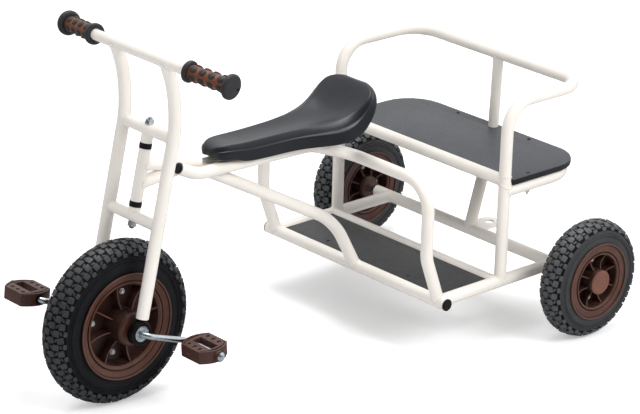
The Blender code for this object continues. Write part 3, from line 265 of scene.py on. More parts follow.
def newGroup(name, inputs, outputs):
    # inputs by label, each a value or a colour; outputs by label and kind
    group = bpy.data.node_groups.new(name, "ShaderNodeTree")
    for label, value in inputs.items():
        kind = "NodeSocketFloat" if isinstance(value, float) else "NodeSocketColor"
        group.interface.new_socket(label, in_out="INPUT", socket_type=kind).default_value = value
    for label, kind in outputs.items():
        group.interface.new_socket(label, in_out="OUTPUT", socket_type="NodeSocket" + kind)
    return group, group.nodes.new("NodeGroupInput").outputs, group.nodes.new("NodeGroupOutput").inputs


def noise(tree, scale, detail, roughness=0.5, place=None):
    return step(tree, "TexNoise", {"Vector": place or placeOn(tree), "Scale": scale, "Detail": detail,
                                   "Roughness": roughness}, "Fac")


def upwardness(tree):
    normal = step(tree, "NewGeometry", {}, "Normal")
    return step(tree, "SeparateXYZ", {0: normal}, "Z")


def toneDriftGroup():
    # slow cloudy change between a colour and its darker neighbour
    group, given, result = newGroup("toneDrift", {"Colour": grey(0.5), "Darker": grey(0.4), "Scale": 20.0,
                                                  "Amount": 0.5}, {"Colour": "Color"})
    spread = ranged(group, noise(group, given["Scale"], 4.0, 0.6), 0.35, 0.7, smooth=True)
    share = worked(group, "MULTIPLY", spread, given["Amount"])
    feed(result["Colour"], blended(group, share, given["Colour"], given["Darker"]))
    return group


def grainGroup():
    # the fine skin of a coated or moulded surface: a height for Bump, and a mask for the gloss
    group, given, result = newGroup("surfaceGrain", {"Scale": 900.0, "Spread": 0.5},
                                    {"Height": "Float", "Mask": "Float"})
    fine = noise(group, given["Scale"], 3.0, 0.6)
    coarse = noise(group, worked(group, "MULTIPLY", given["Scale"], 0.17), 2.0)
    feed(result["Height"], worked(group, "ADD", fine, coarse))
    ends = [worked(group, operation, 0.5, given["Spread"]) for operation in ("SUBTRACT", "ADD")]
    feed(result["Mask"], ranged(group, coarse, *ends))
    return group


def dustGroup():
    # a little pale dust on what faces up
    group, given, result = newGroup("settledDust", {"Colour": grey(0.1), "Dust": (0.45, 0.43, 0.4, 1),
                                                    "Amount": 0.1, "Scale": 60.0}, {"Colour": "Color"})
    upward = ranged(group, upwardness(group), 0.1, 0.95, smooth=True)
    patches = ranged(group, noise(group, given["Scale"], 5.0, 0.7), 0.38, 0.72)
    lying = worked(group, "MULTIPLY", upward, patches)
    share = worked(group, "MULTIPLY", lying, given["Amount"])
    feed(result["Colour"], blended(group, share, given["Colour"], given["Dust"]))
    return group


def scuffGroup():
    # short fine scratches in one direction, paler than what they cross
    group, given, result = newGroup("fineScuffs", {"Colour": grey(0.1), "Scuff": grey(0.3), "Amount": 0.2,
                                                   "Scale": 40.0}, {"Colour": "Color", "Mask": "Float"})
    stretch = step(group, "Mapping", {"Vector": placeOn(group), "Rotation": (0.4, 0.7, 0.9),
                                      "Scale": (1.0, 9.0, 5.0)})
    thin = ranged(group, noise(group, given["Scale"], 5.0, place=stretch), 0.60, 0.68)
    share = worked(group, "MULTIPLY", thin, given["Amount"])
    feed(result["Colour"], blended(group, share, given["Colour"], given["Scuff"]))
    feed(result["Mask"], share)
    return group


def embossGroup():
    # two sets of fine ridges crossing in long diamonds, only on what faces up; the cut edges are darker
    group, given, result = newGroup("wireEmboss", {"Colour": grey(0.1), "Edge": grey(0.02), "Scale": 62.0},
                                    {"Colour": "Color", "Height": "Float"})
    ridges = []
    for turn in (0.62, -0.62):
        lay = step(group, "Mapping", {"Vector": placeOn(group), "Rotation": (0, 0, turn)})
        wave = step(group, "TexWave", {"Vector": lay, "Scale": given["Scale"], "Distortion": 0.0}, "Fac")
        ridges.append(ranged(group, wave, 0.72, 0.98, smooth=True))
    up = upwardness(group)
    height = worked(group, "MULTIPLY", worked(group, "MAXIMUM", *ridges), ranged(group, up, 0.9, 0.98))
    feed(result["Height"], height)
    pale = blended(group, worked(group, "MULTIPLY", height, 0.20), given["Colour"], (0.12, 0.125, 0.14, 1))
    feed(result["Colour"], blended(group, ranged(group, up, 0.3, 0.8), given["Edge"], pale))
    return group


effects = {"drift": toneDriftGroup(), "grain": grainGroup(), "dust": dustGroup(), "scuffs": scuffGroup(),
           "emboss": embossGroup()}


def skin(colour, darker, scuff, **changes):
    # a finish: its colours, how they change over the surface, its grain and its gloss
    plain = {"driftScale": 40, "drift": 0.7, "grainScale": 1100, "grainDepth": 0.00010,
             "roughness": (0.33, 0.47), "metallic": 0.0, "coat": 0.0, "scuffs": 0.2, "dust": 0.05,
             "specular": 0.5, "tint": (1, 1, 1), "edge": None, "embossDepth": 0.00025}
    return {"colour": colour, "darker": darker, "scuff": scuff, **plain, **changes}


def blackSkin(colour, darker, scuff, **changes):
    return skin(colour, darker, scuff, **{"drift": 0.6, "grainScale": 1300, "grainDepth": 0.00014, **changes})


finishes = {
    "creamPaint": skin((0.82, 0.780, 0.728), (0.765, 0.717, 0.655), (0.62, 0.58, 0.53), driftScale=9,
                       drift=0.5, grainScale=700, grainDepth=0.00012, roughness=(0.26, 0.36), coat=0.25,
                       scuffs=0.12, dust=0.0),
    "rimBrown": skin((0.085, 0.032, 0.020), (0.060, 0.021, 0.014), (0.20, 0.09, 0.06), driftScale=26,
                     scuffs=0.22),
    # painted shade: the rim's brown made darker, for the shaded dish and the grooves of the moulded steps
    "dishBrown": skin((0.030, 0.0095, 0.0055), (0.019, 0.006, 0.0038), (0.10, 0.045, 0.03), driftScale=26),
    # painted highlight: the rim's brown made paler, for rib edges and ring faces that catch the light
    "ribBrown": skin((0.105, 0.042, 0.027), (0.075, 0.028, 0.018), (0.20, 0.09, 0.06), driftScale=26),
    "capBrown": skin((0.160, 0.062, 0.038), (0.115, 0.040, 0.024), (0.28, 0.15, 0.11), roughness=(0.34, 0.46),
                     dust=0.03),
    "pedalBrown": skin((0.062, 0.0215, 0.0145), (0.040, 0.0135, 0.0095), (0.22, 0.13, 0.11), driftScale=45,
                       grainScale=1000, grainDepth=0.00014, roughness=(0.42, 0.56), scuffs=0.22),
    "gripOrange": skin((0.160, 0.046, 0.015), (0.105, 0.028, 0.010), (0.42, 0.20, 0.12), driftScale=50,
                       drift=0.6, grainScale=1300, grainDepth=0.00016, roughness=(0.42, 0.58), scuffs=0.18),
    # painted shade: a darker black for the carcass between the tread blocks
    "grooveShadeBlack": blackSkin((0.0045, 0.0047, 0.0052), (0.003, 0.0032, 0.0036), (0.03, 0.03, 0.033),
                             roughness=(0.6, 0.8), dust=0.04, specular=0.15),
    "deepBlack": blackSkin((0.0022, 0.0022, 0.0025), (0.0012, 0.0012, 0.0014), (0.02, 0.02, 0.022),
                           grainDepth=0.00012, roughness=(0.34, 0.50), scuffs=0.15, dust=0.0, specular=0.22),
    "gripBlack": blackSkin((0.0270, 0.0272, 0.0290), (0.0180, 0.0182, 0.0195), (0.05, 0.05, 0.053),
                           roughness=(0.40, 0.56), dust=0.02, specular=0.35),
    "blackRubber": blackSkin((0.0085, 0.0085, 0.0095), (0.005, 0.005, 0.0055), (0.05, 0.05, 0.053),
                             roughness=(0.38, 0.55), dust=0.03, specular=0.2),
    "saddleBlack": blackSkin((0.0085, 0.0100, 0.0130), (0.0060, 0.0070, 0.0092), (0.03, 0.032, 0.035),
                             driftScale=14, grainScale=1500, grainDepth=0.00008, roughness=(0.30, 0.40),
                             scuffs=0.10, dust=0.01, specular=0.52, tint=(0.90, 0.94, 1.0)),
    "tyreBlack": skin((0.0095, 0.0100, 0.0120), (0.0064, 0.0068, 0.0080), (0.035, 0.036, 0.039),
                      driftScale=30, grainScale=1200, grainDepth=0.00018, roughness=(0.55, 0.75), scuffs=0.22,
                      dust=0.02, specular=0.16),
    "treadBlack": skin((0.030, 0.033, 0.038), (0.014, 0.016, 0.018), (0.08, 0.082, 0.086), driftScale=60,
                       grainScale=1400, grainDepth=0.00012, roughness=(0.42, 0.58), scuffs=0.25,
                       specular=0.62),
    "brightZinc": skin((0.70, 0.77, 0.82), (0.52, 0.57, 0.61), (0.45, 0.45, 0.46), driftScale=60, drift=0.5,
                       grainScale=900, roughness=(0.16, 0.32), metallic=1.0, scuffs=0.3, dust=0.0),
    "boltZinc": skin((0.80, 0.79, 0.74), (0.60, 0.58, 0.54), (0.3, 0.29, 0.27), driftScale=120, drift=0.5,
                     grainScale=900, roughness=(0.30, 0.46), metallic=0.55, scuffs=0.3, dust=0.0),
    "embossedBoard": skin((0.032, 0.037, 0.046), (0.024, 0.028, 0.034), (0.12, 0.125, 0.14), driftScale=12,
                          roughness=(0.34, 0.48), dust=0.03, specular=0.40, edge=(0.009, 0.009, 0.010)),
}
# painted light: lighter copies of the front tyre's black rubber and tread, for the rear wheels, which catch
# more light
finishes["tyreGrey"] = dict(finishes["tyreBlack"], colour=(0.042, 0.043, 0.046), darker=(0.030, 0.031, 0.034),
                            specular=0.40)
finishes["rearTread"] = dict(finishes["treadBlack"], colour=(0.070, 0.074, 0.078),
                             darker=(0.036, 0.038, 0.042))
# painted shade: a darker copy of the board finish for the footplate, which lies in the shade of the hoop and
# bench
finishes["shadedFootBoard"] = dict(finishes["embossedBoard"], colour=(0.017, 0.0175, 0.019),
                             darker=(0.012, 0.0125, 0.0135), specular=0.25, scuff=(0.05, 0.05, 0.053),
                             scuffs=0.12, edge=(0.007, 0.007, 0.008))


def makeFinish(name, values):
    material = bpy.data.materials.new(name)
    material.use_nodes = True
    tree = material.node_tree
    drifted = step(tree, "Group", {"Colour": (*values["colour"], 1), "Darker": (*values["darker"], 1),
                                   "Scale": values["driftScale"], "Amount": values["drift"]}, "Colour",
                   node_tree=effects["drift"])
    scuffed = step(tree, "Group", {"Colour": drifted, "Scuff": (*values["scuff"], 1),
                                   "Amount": values["scuffs"]}, "Colour", node_tree=effects["scuffs"])
    colour = step(tree, "Group", {"Colour": scuffed, "Amount": values["dust"]}, "Colour",
                  node_tree=effects["dust"])
    grain = step(tree, "Group", {"Scale": values["grainScale"]}, "Height", node_tree=effects["grain"])
    gloss = ranged(tree, grain.node.outputs["Mask"], 0.0, 1.0, *values["roughness"])
    worn = worked(tree, "MULTIPLY", scuffed.node.outputs["Mask"], 0.3)
    bumps = {"Height": grain, "Distance": values["grainDepth"], "Strength": 1.0}
    if values["edge"]:
        colour = step(tree, "Group", {"Colour": colour, "Edge": (*values["edge"], 1)}, "Colour",
                      node_tree=effects["emboss"])
        bumps["Normal"] = step(tree, "Bump", {"Height": colour.node.outputs["Height"],
                                              "Distance": values["embossDepth"]})
    feedNode(tree, "Principled BSDF", {"Base Color": colour, "Metallic": values["metallic"],
                                       "Coat Weight": values["coat"],
                                       "Specular IOR Level": values["specular"],
                                       "Specular Tint": (*values["tint"], 1),
                                       "Roughness": worked(tree, "ADD", gloss, worn),
                                       "Normal": step(tree, "Bump", bumps)})
    return material


materials = {name: makeFinish(name, values) for name, values in finishes.items()}


# Modelling steps that several pieces share

def clearSelection():
    bpy.ops.object.select_all(action="DESELECT")


def pick(piece):
    clearSelection()
    piece.select_set(True)
    bpy.context.view_layer.objects.active = piece


def editing(piece, selected=True):
    pick(piece)
    bpy.ops.object.mode_set(mode="EDIT")
    bpy.ops.mesh.select_mode(type="VERT")
    bpy.ops.mesh.select_all(action="SELECT" if selected else "DESELECT")


def doneEditing():
    bpy.ops.object.mode_set(mode="OBJECT")


def mergeAll():
    # in edit mode: doubled points merged, normals turned outward
    bpy.ops.mesh.select_all(action="SELECT")
    bpy.ops.mesh.remove_doubles(threshold=mergeGap)
    bpy.ops.mesh.normals_make_consistent(inside=False)


def selectBy(piece, kind, test):
    # in edit mode: what passes the test, by a vertex's place, an edge's ends, or a face's middle and normal
    bpy.ops.mesh.select_mode(type=kind)
    bpy.ops.mesh.select_all(action="DESELECT")
    shape = bmesh.from_edit_mesh(piece.data)
    shape.normal_update()
    told = {"VERT": (shape.verts, lambda vert: [vert.co]),
            "EDGE": (shape.edges, lambda edge: [vert.co for vert in edge.verts]),
            "FACE": (shape.faces, lambda face: [face.calc_center_median(), face.normal])}
    parts, facts = told[kind]
    for part in parts:
        if test(*facts(part)):
            part.select_set(True)
    shape.select_flush_mode()
    bmesh.update_edit_mesh(piece.data)


def applyPlace(piece):
    pick(piece)
    bpy.ops.object.transform_apply(location=True, rotation=True, scale=True)


def made(primitive, **settings):
    clearSelection()
    primitive(**settings)
    return bpy.context.object


def sized(piece, scale, place=(0, 0, 0)):
    piece.scale, piece.location = scale, place
    applyPlace(piece)
    return piece


def standAt(piece, place, turn=None):
    # moves a piece that was modelled about the world's origin to where it belongs, turned first
    if turn is not None:
        piece.data.transform(turn)
    piece.data.transform(Matrix.Translation(place))


def applyModifiers(piece):
    pick(piece)
    for name in [modifier.name for modifier in piece.modifiers]:
        bpy.ops.object.modifier_apply(modifier=name)


def roundEdges(piece, width, segments=2, sharpest=30):
    edge = piece.modifiers.new("edge", "BEVEL")
    edge.width, edge.segments, edge.angle_limit = width, segments, math.radians(sharpest)
    applyModifiers(piece)


def cutAway(piece, cutter):
    cut = piece.modifiers.new("cut", "BOOLEAN")
    cut.operation, cut.solver, cut.object = "DIFFERENCE", "EXACT", cutter
    applyModifiers(piece)
    discard(cutter)


def discard(*pieces):
    for piece in pieces:
        bpy.data.objects.remove(piece)


def copied(piece, turn):
    twin = piece.copy()
    twin.data = piece.data.copy()
    twin.data.transform(turn)
    bpy.context.collection.objects.link(twin)
    return twin


def scattered(model, places):
    # a copy of the model at every place; the model itself goes
    pieces = [copied(model, place) for place in places]
    discard(model)
    return pieces


def joinAll(pieces, name):
    clearSelection()
    for piece in pieces:
        piece.select_set(True)
    bpy.context.view_layer.objects.active = pieces[0]
    if len(pieces) > 1:
        bpy.ops.object.join()
    piece = bpy.context.object
    piece.name = name
    piece.data.name = name
    return piece


def dress(piece, finish, body, replaced=(), smoothAngle=35):
    # its finish, its shading, the body that it moves with, and the solids that it stands for
    pick(piece)
    piece.data.materials.clear()
    piece.data.materials.append(materials[finish])
    for face in piece.data.polygons:
        face.material_index = 0
    bpy.ops.object.shade_smooth_by_angle(angle=math.radians(smoothAngle))
    applyPlace(piece)
    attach(piece, body)
    if replaced:
        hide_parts(*replaced)
    return piece


def recolour(piece, finish, test):
    # a second finish on the faces that pass the test, by middle and normal
    piece.data.materials.append(materials[finish])
    for face in piece.data.polygons:
        if test(face.center, face.normal):
            face.material_index = len(piece.data.materials) - 1


def drawn(points):
    # a line drawn point by point, from one loose vertex; it stays in edit mode
    piece = made(bpy.ops.mesh.primitive_plane_add, size=0.001, location=(0, 0, 0))
    editing(piece)
    bpy.ops.mesh.merge(type="CENTER")
    bpy.ops.transform.translate(value=points[0])
    for before, after in zip(points, points[1:]):
        bpy.ops.mesh.extrude_vertices_move(TRANSFORM_OT_translate={"value": after - before})
    return piece


def spun(name, outline, count, rounding=0.0):
    # a closed outline of (place along x, radius), its corners rounded, spun about the x axis
    points = [Vector((x, 0, radius)) for x, radius in outline]
    piece = drawn(points + points[:1])
    bpy.ops.mesh.select_all(action="SELECT")
    bpy.ops.mesh.remove_doubles(threshold=mergeGap)
    if rounding:
        selectBy(piece, "VERT", lambda place: place.z > 0.0001)
        bpy.ops.mesh.bevel(offset=rounding, segments=3, affect="VERTICES", clamp_overlap=True)
    bpy.ops.mesh.select_all(action="SELECT")
    bpy.ops.mesh.spin(steps=count, angle=2 * math.pi, center=(0, 0, 0), axis=(1, 0, 0))
    mergeAll()
    doneEditing()
    piece.name = name
    return piece


def thickened(line, radius, resolution, capped=False, wave=0, waveStep=0):
    # a line of edges made a round bar, which may swell and shrink along its length
    pick(line)
    bpy.ops.object.convert(target="CURVE")
    curve = bpy.context.object.data
    curve.bevel_depth, curve.bevel_resolution, curve.use_fill_caps = radius, resolution, capped
    for index, point in enumerate(curve.splines[0].points):
        point.radius = 1 + wave * math.sin(waveStep * index)
    bpy.ops.object.convert(target="MESH")
    return bpy.context.object


def piped(name, corners, bends, radius, resolution=12):
    # a round tube along a line, whose inner corners are each rounded to a bend radius
    piece = drawn(corners)
    for before, corner, after, bend in zip(corners, corners[1:], corners[2:], bends):
        turn = (corner - before).angle(after - corner)
        selectBy(piece, "VERT", lambda place: (place - corner).length < 0.0002)
        bpy.ops.mesh.bevel(offset=bend * math.tan(turn / 2), segments=9, affect="VERTICES",
                           clamp_overlap=False)
    doneEditing()
    piece = thickened(piece, radius, resolution, True)
    editing(piece)
    mergeAll()
    doneEditing()
    piece.name = name
    return piece


# Tubes of the frame and fork: the corners and bend radii of each, for the left one where there are two
hoopX, hoopAft, hoopZ = 0.058, -0.366, 0.380
loopTop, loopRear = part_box("backrest_loop")[1].z - tubeR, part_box("backrest_loop")[1].y - axleY - tubeR
supportZ, supportRear = middleOf("bench_support_loop").z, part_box("bench_support_loop")[1].y - axleY - tubeR
uprightAft, benchTubeZ = middleOf("bench_tube_front").y - axleY, middleOf("bench_tube_front").z
footFrontAft, footRearAft = (middleOf("foot_tube_" + end).y - axleY for end in ("front", "rear"))
footTubeHalf, axleTubeHalf = (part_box(node)[1].x for node in ("foot_tube_front", "rear_axle_tube"))
forkX, seatX = middleOf("fork_tube_left").x, middleOf("stop_plug_left").x
forkBendAlong, handleAlong = 0.4415, 0.5275
handleAhead = (handleAlong - forkBendAlong) * math.tan(math.radians(31))
gripStart = {side: steered(way * 0.128, handleAlong, handleAhead) for side, way in sides.items()}
gripAxis = {side: Vector((way * 0.1130, 0.0168, -0.0067)) for side, way in sides.items()}


def tube(*corners, bends=(), radius=tubeR, pair=False, stub=(), body="frame"):
    return {"corners": list(corners), "bends": bends, "radius": radius, "pair": pair, "stub": stub,
            "body": body}


def straightAcross(half, aft, z):
    return tube(at(-half, aft, z), at(half, aft, z))


def loop(*half, bends):
    return tube(*half, *otherSide(reversed(half)), bends=bends)


def crossbar(along, stubEnd):
    return tube(steered(-forkX, along), steered(forkX, along), radius=smallTubeR, body="steering",
                stub=(steered(0, along), steered(0, stubEnd)))


frameTubes = {
    "rear_axle_tube": straightAcross(axleTubeHalf, 0, floorTubeZ),
    "foot_tube_front": straightAcross(footTubeHalf, footFrontAft, floorTubeZ),
    "foot_tube_rear": straightAcross(railX, footRearAft, floorTubeZ),
    "side_rail": tube(at(railX, footFrontAft, floorTubeZ), at(railX, 0, floorTubeZ), pair=True),
    "backrest_loop": loop(at(railX, uprightAft, floorTubeZ), at(railX, uprightAft, loopTop),
                          at(railX, loopRear, loopTop), bends=[0.060, 0.062, 0.062, 0.060]),
    "bench_tube_front": straightAcross(railX, uprightAft, benchTubeZ),
    "bench_support_loop": loop(at(railX, uprightAft, supportZ), at(railX, supportRear, supportZ),
                               bends=[0.080, 0.080]),
    "centre_strut": tube(at(0, 0, floorTubeZ), at(0, supportRear, supportZ)),
    "back_post": tube(at(0, supportRear, supportZ), at(0, loopRear, loopTop), radius=smallTubeR),
    "seat_tube": tube(at(seatX, -0.8105, 0.449), at(seatX, -0.7660, 0.4275), at(seatX, -0.4750, 0.4215),
                      at(seatX, hoopAft, hoopZ), at(hoopX, hoopAft, hoopZ), bends=[0.08, 0.10, 0.034],
                      pair=True),
    "hoop_side": tube(at(hoopX, hoopAft, hoopZ), at(railX, hoopAft, hoopZ), at(railX, hoopAft, 0.225),
                      at(railX, footFrontAft, floorTubeZ), bends=[0.060, 0.06], pair=True),
    "down_tube": tube(at(0, -0.7300, 0.4230), at(0, -0.3914, 0.2371), at(0, footFrontAft, floorTubeZ),
                      bends=[0.16]),
    "neck_tube": tube(steered(0, 0.3098), at(0, -0.7480, 0.4440)),
    "neck_brace": tube(steered(0, 0.2735), at(0, -0.8000, 0.4400)),
    "head_tube": tube(steered(0, 0.2390), steered(0, 0.3420), radius=stubR),
    "fork_tube": tube(steered(forkX, 0.029), steered(forkX, forkBendAlong),
                      steered(forkX, handleAlong, handleAhead), bends=[0.24], pair=True, body="steering"),
    "fork_crossbar_lower": crossbar(0.209, 0.2277),
    "fork_crossbar_upper": crossbar(0.379, 0.3533),
    "handlebar": tube(gripStart["right"] + gripAxis["right"], gripStart["right"], gripStart["left"],
                      gripStart["left"] + gripAxis["left"], bends=[0.035, 0.035], radius=smallTubeR,
                      body="steering"),
}


def variants(values):
    # what a name ends with, and the corners: for a single tube once, for a pair left and right
    if values["pair"]:
        return [("_left", values["corners"]), ("_right", otherSide(values["corners"]))]
    return [("", values["corners"])]


def addTubes(tubes):
    for name, values in tubes.items():
        for ending, corners in variants(values):
            piece = piped(name + ending + "_tube", corners, values["bends"], values["radius"])
            if values["stub"]:
                piece = joinAll([piece, piped("stub", values["stub"], (), stubR)], piece.name)
            dress(piece, "creamPaint", values["body"], [name + ending], 40)


addTubes(frameTubes)
print("tubes bent and placed")


# Weld beads, where a tube stands on another: the tube, the ends that do, and the host and its span
weldValues = {"thickness": 0.0017, "points": 40, "back": 0.06, "wave": 0.16, "waveStep": 2.4}
weldedEnds = [
    ("side_rail", [0], "foot_tube_front", 0), ("side_rail", [-1], "rear_axle_tube", 0),
    ("foot_tube_rear", [0, -1], "side_rail", 0), ("bench_tube_front", [0, -1], "backrest_loop", 0),
    ("backrest_loop", [0, -1], "side_rail", 0), ("bench_support_loop", [0, -1], "backrest_loop", 0),
    ("centre_strut", [0], "rear_axle_tube", 0), ("centre_strut", [-1], "bench_support_loop", 1),
    ("back_post", [0], "bench_support_loop", 1), ("back_post", [-1], "backrest_loop", 2),
    ("hoop_side", [-1], "foot_tube_front", 0), ("down_tube", [-1], "foot_tube_front", 0),
    ("neck_tube", [0], "head_tube", 0), ("neck_brace", [0], "head_tube", 0),
    ("fork_crossbar_lower", [0, -1], "fork_tube", 0), ("fork_crossbar_upper", [0, -1], "fork_tube", 0),
    ("fork_tube", [-1], "handlebar", 1),
]


def onHost(start, way, point, along, radius):
    # how far a ray goes until it meets a round tube; a ray that misses it turns back where it is nearest
    across = way.cross(along)
    offset = (start - point).cross(along)
    square, mixed, rest = across.dot(across), offset.dot(across), offset.dot(offset) - radius * radius
    return (-mixed - math.sqrt(max(mixed * mixed - square * rest, 0))) / square


def weldBead(end, before, radius, hostStart, hostEnd, hostRadius):
    way = (end - before).normalized()
    bead = made(bpy.ops.mesh.primitive_circle_add, vertices=weldValues["points"], radius=radius,
                location=end - way * weldValues["back"], rotation=way.to_track_quat("Z", "Y").to_euler())
    applyPlace(bead)
    along = (hostEnd - hostStart).normalized()
    for vert in bead.data.vertices:
        vert.co += way * onHost(vert.co, way, hostStart, along, hostRadius)
    # with the small waves of a hand-laid bead
    return thickened(bead, weldValues["thickness"], 2, wave=weldValues["wave"],
                     waveStep=weldValues["waveStep"])


def addWelds(welded):
    beads = {"frame": [], "steering": []}
    for name, ends, hostName, span in welded:
        standing, host = frameTubes[name], frameTubes[hostName]
        for which in ends:
            for _, corners in variants(standing):
                onRight = host["pair"] and corners[which].x < 0
                hostCorners = otherSide(host["corners"]) if onRight else host["corners"]
                bead = weldBead(corners[which], corners[-2 if which else 1], standing["radius"],
                                hostCorners[span], hostCorners[span + 1], host["radius"])
                beads[standing["body"]].append(bead)
    for body, laid in beads.items():
        dress(joinAll(laid, body + "_weld_beads"), "creamPaint", body, (), 60)


addWelds(weldedEnds)
print("weld beads laid")


# Tyres: a spun carcass with ringed sidewalls, and staggered tread blocks set into it
frontTyre = {
    "beadR": 0.0978, "beadHalf": 0.0317, "crownR": 0.1614, "half": 0.0310, "count": 120,
    "pitches": 35, "rowArcs": (0, 0.0100, 0.0198, 0.0290, 0.0364),
    "block": {"width": 0.0124, "length": 0.0124, "height": 0.0033, "corner": 0.0014, "taper": 0.9,
              "drop": 0.0007, "sunk": 0.5},
    "shoulderWidth": 0.0078, "shoulderLength": 0.82, "finish": "tyreBlack", "tread": "treadBlack",
    "tie": {"width": 0.0040, "length": 0.0080, "height": 0.0012, "corner": 0.0010, "taper": 0.8,
            "drop": 0.0007, "sunk": 0.5},
    "twists": (-4, 6), "tieTwists": (-24, 24),   # degrees, of even and odd rows
}
# the rear tyres take the lighter copies of the rubber, painted light
rearTyre = dict(frontTyre, beadR=0.0716, beadHalf=0.0257, crownR=0.1207, half=0.0275, count=104, pitches=27,
                rowArcs=(0, 0.0094, 0.0186, 0.0264), finish="tyreGrey", tread="rearTread",
                shoulderWidth=0.0070, block=dict(frontTyre["block"], width=0.0117, length=0.0126))

# Half of the carcass from the bead to the crown: shares of the half width and of the height above the bead;
# the three narrow steps are the ridges moulded round the sidewall
carcassShares = [(1.02, 0.08), (1.045, 0.20), (1.05, 0.30), (1.05, 0.40), (1.036, 0.445),
                 (1.086, 0.458), (1.082, 0.476), (1.018, 0.490), (1.010, 0.512), (1.066, 0.525),
                 (1.058, 0.543), (0.990, 0.557), (0.978, 0.60), (1.012, 0.613), (1.002, 0.630),
                 (0.952, 0.644), (0.92, 0.72), (0.84, 0.80), (0.72, 0.868), (0.56, 0.925),
                 (0.38, 0.965), (0.19, 0.99), (0.0, 1.0)]


def onTread(half, arc):
    # the place and the slope at a length of arc down from the crown
    points = half[::-1]
    for near, far in zip(points, points[1:]):
        length = math.dist(near, far)
        if arc <= length:
            share = arc / length
            slope = math.atan2(near[1] - far[1], far[0] - near[0])
            return near[0] + (far[0] - near[0]) * share, near[1] + (far[1] - near[1]) * share, slope
        arc -= length
    return *points[-1], 0


def treadBlock(block, width):
    # a cube with its upright corners cut, drawn in towards the top, the hidden bottom left open
    height, length = block["height"], block["length"]
    sunk = height * block["sunk"]
    piece = sized(made(bpy.ops.mesh.primitive_cube_add, size=1), (width, length, height + sunk),
                  (0, 0, (height - sunk) / 2))
    editing(piece, False)
    selectBy(piece, "EDGE", lambda a, b: abs(a.z - b.z) > 0.001)
    bpy.ops.mesh.bevel(offset=block["corner"], segments=1, affect="EDGES")
    top = height - 0.0002
    selectBy(piece, "FACE", lambda middle, normal: normal.z > 0.9)
    bpy.ops.mesh.inset(thickness=width * (1 - block["taper"]) / 2, depth=0)
    selectBy(piece, "VERT", lambda place: place.z > top and
             (abs(place.x) > width * block["taper"] / 2 or abs(place.y) > length / 2 - 0.0006))
    bpy.ops.transform.translate(value=(0, 0, -block["drop"]))
    selectBy(piece, "FACE", lambda middle, normal: normal.z < -0.9)
    bpy.ops.mesh.delete(type="FACE")
    doneEditing()
    return piece


def addTyre(values, name, body, hub):
    beadHalf, beadR, arcs, whole = (values[key] for key in ("beadHalf", "beadR", "rowArcs", "block"))
    height = values["crownR"] - beadR
    half = [(values["half"] * across, beadR + height * up) for across, up in carcassShares]
    outline = [(beadHalf, beadR)] + half + [(-x, r) for x, r in half[-2::-1]] + [(-beadHalf, beadR)]
    carcass = spun(name + "_carcass", outline, values["count"])
    standAt(carcass, hub)
    dress(carcass, values["finish"], body, [name], 50)
    # the carcass between the tread blocks gets the darker black, painted shade in the grooves
    grooveShadeR = onTread(half, arcs[-1] + values["shoulderWidth"] / 2)[1] - 0.0005
    recolour(carcass, "grooveShadeBlack", lambda middle, normal: math.hypot(*(middle - hub).yz) > grooveShadeR)
    full = treadBlock(whole, whole["width"])
    short = dict(whole, length=whole["length"] * values["shoulderLength"])
    small = treadBlock(short, values["shoulderWidth"])
    tie = treadBlock(values["tie"], values["tie"]["width"])
    pitch = 2 * math.pi / values["pitches"]
    sector = []
    for row, arc in enumerate(arcs):
        isLast = row == len(arcs) - 1
        for side in ((1, -1) if row else (1,)):
            x, radius, slope = onTread(half, arc)
            place = moved(side * x, 0, radius) @ turned(side * slope, "Y")
            laid = [(small if isLast else full, "twists", row)]
            if not isLast:
                laid.append((tie, "tieTwists", row + 1))
            for model, twists, offset in laid:
                block = copied(model, place @ turned(side * math.radians(values[twists][row % 2]), "Z"))
                block.data.transform(turned(pitch / 2 * (offset % 2)))
                sector.append(block)
    sector = joinAll(sector, "sector")
    sectors = [copied(sector, turned(pitch * index)) for index in range(1, values["pitches"])]
    tread = joinAll([sector] + sectors, name + "_tread")
    discard(full, small, tie)
    standAt(tread, hub)
    dress(tread, values["tread"], body, (), 40)


addTyre(frontTyre, "front_tyre", "front_wheel", frontHub)
for side in sides:
    addTyre(rearTyre, "rear_tyre_" + side, "rear_wheel_" + side, rearHubs[side])
print("tyres made")


# Rims: rolled outer lip, broad sloping face, dish with scalloped ribs, drum hub, and four bolts a side
frontRim = {
    "bore": 0.0063, "hubHalf": 0.056, "hubR": 0.034, "hubEdge": 0.004, "web": 0.005, "dishR": 0.0765,
    "mouth": 0.0285, "mouthR": 0.0815, "faceHalf": 0.033, "faceR": 0.0895, "lipHalf": 0.039, "lipR": 0.1075,
    "seatR": 0.0975, "ribs": 8, "firstRib": -11, "ribThickness": 0.003, "ribDip": 0.006, "count": 112,
    "boltR": 0.061, "firstBolt": 11, "bolts": 4, "innerRib": 0.033, "ribCuts": 11, "edge": 0.0007,
    # the moulded steps at the face and at the lip, each from its half width and its radius
    "steps": [("face", -0.0022, -0.0050), ("face", 0, -0.0032), ("face", 0, -0.0010),
              ("face", -0.0034, -0.0002), ("face", -0.0034, 0.0012), ("face", -0.0006, 0.0024),
              ("lip", -0.0030, -0.0056), ("lip", -0.0034, -0.0040), ("lip", -0.0004, -0.0032),
              ("lip", 0, -0.0004), ("lip", -0.0028, 0)],
    # the rings painted paler, a painted highlight on the steps' edges, and those painted darker, painted shade
    # in their grooves, from the same radii
    "rings": {"ribBrown": [("face", -0.0052, -0.0008), ("lip", -0.0033, -0.0002)],
              "dishBrown": [("face", -0.0008, 0.0022), ("lip", -0.0052, -0.0034)]},
}
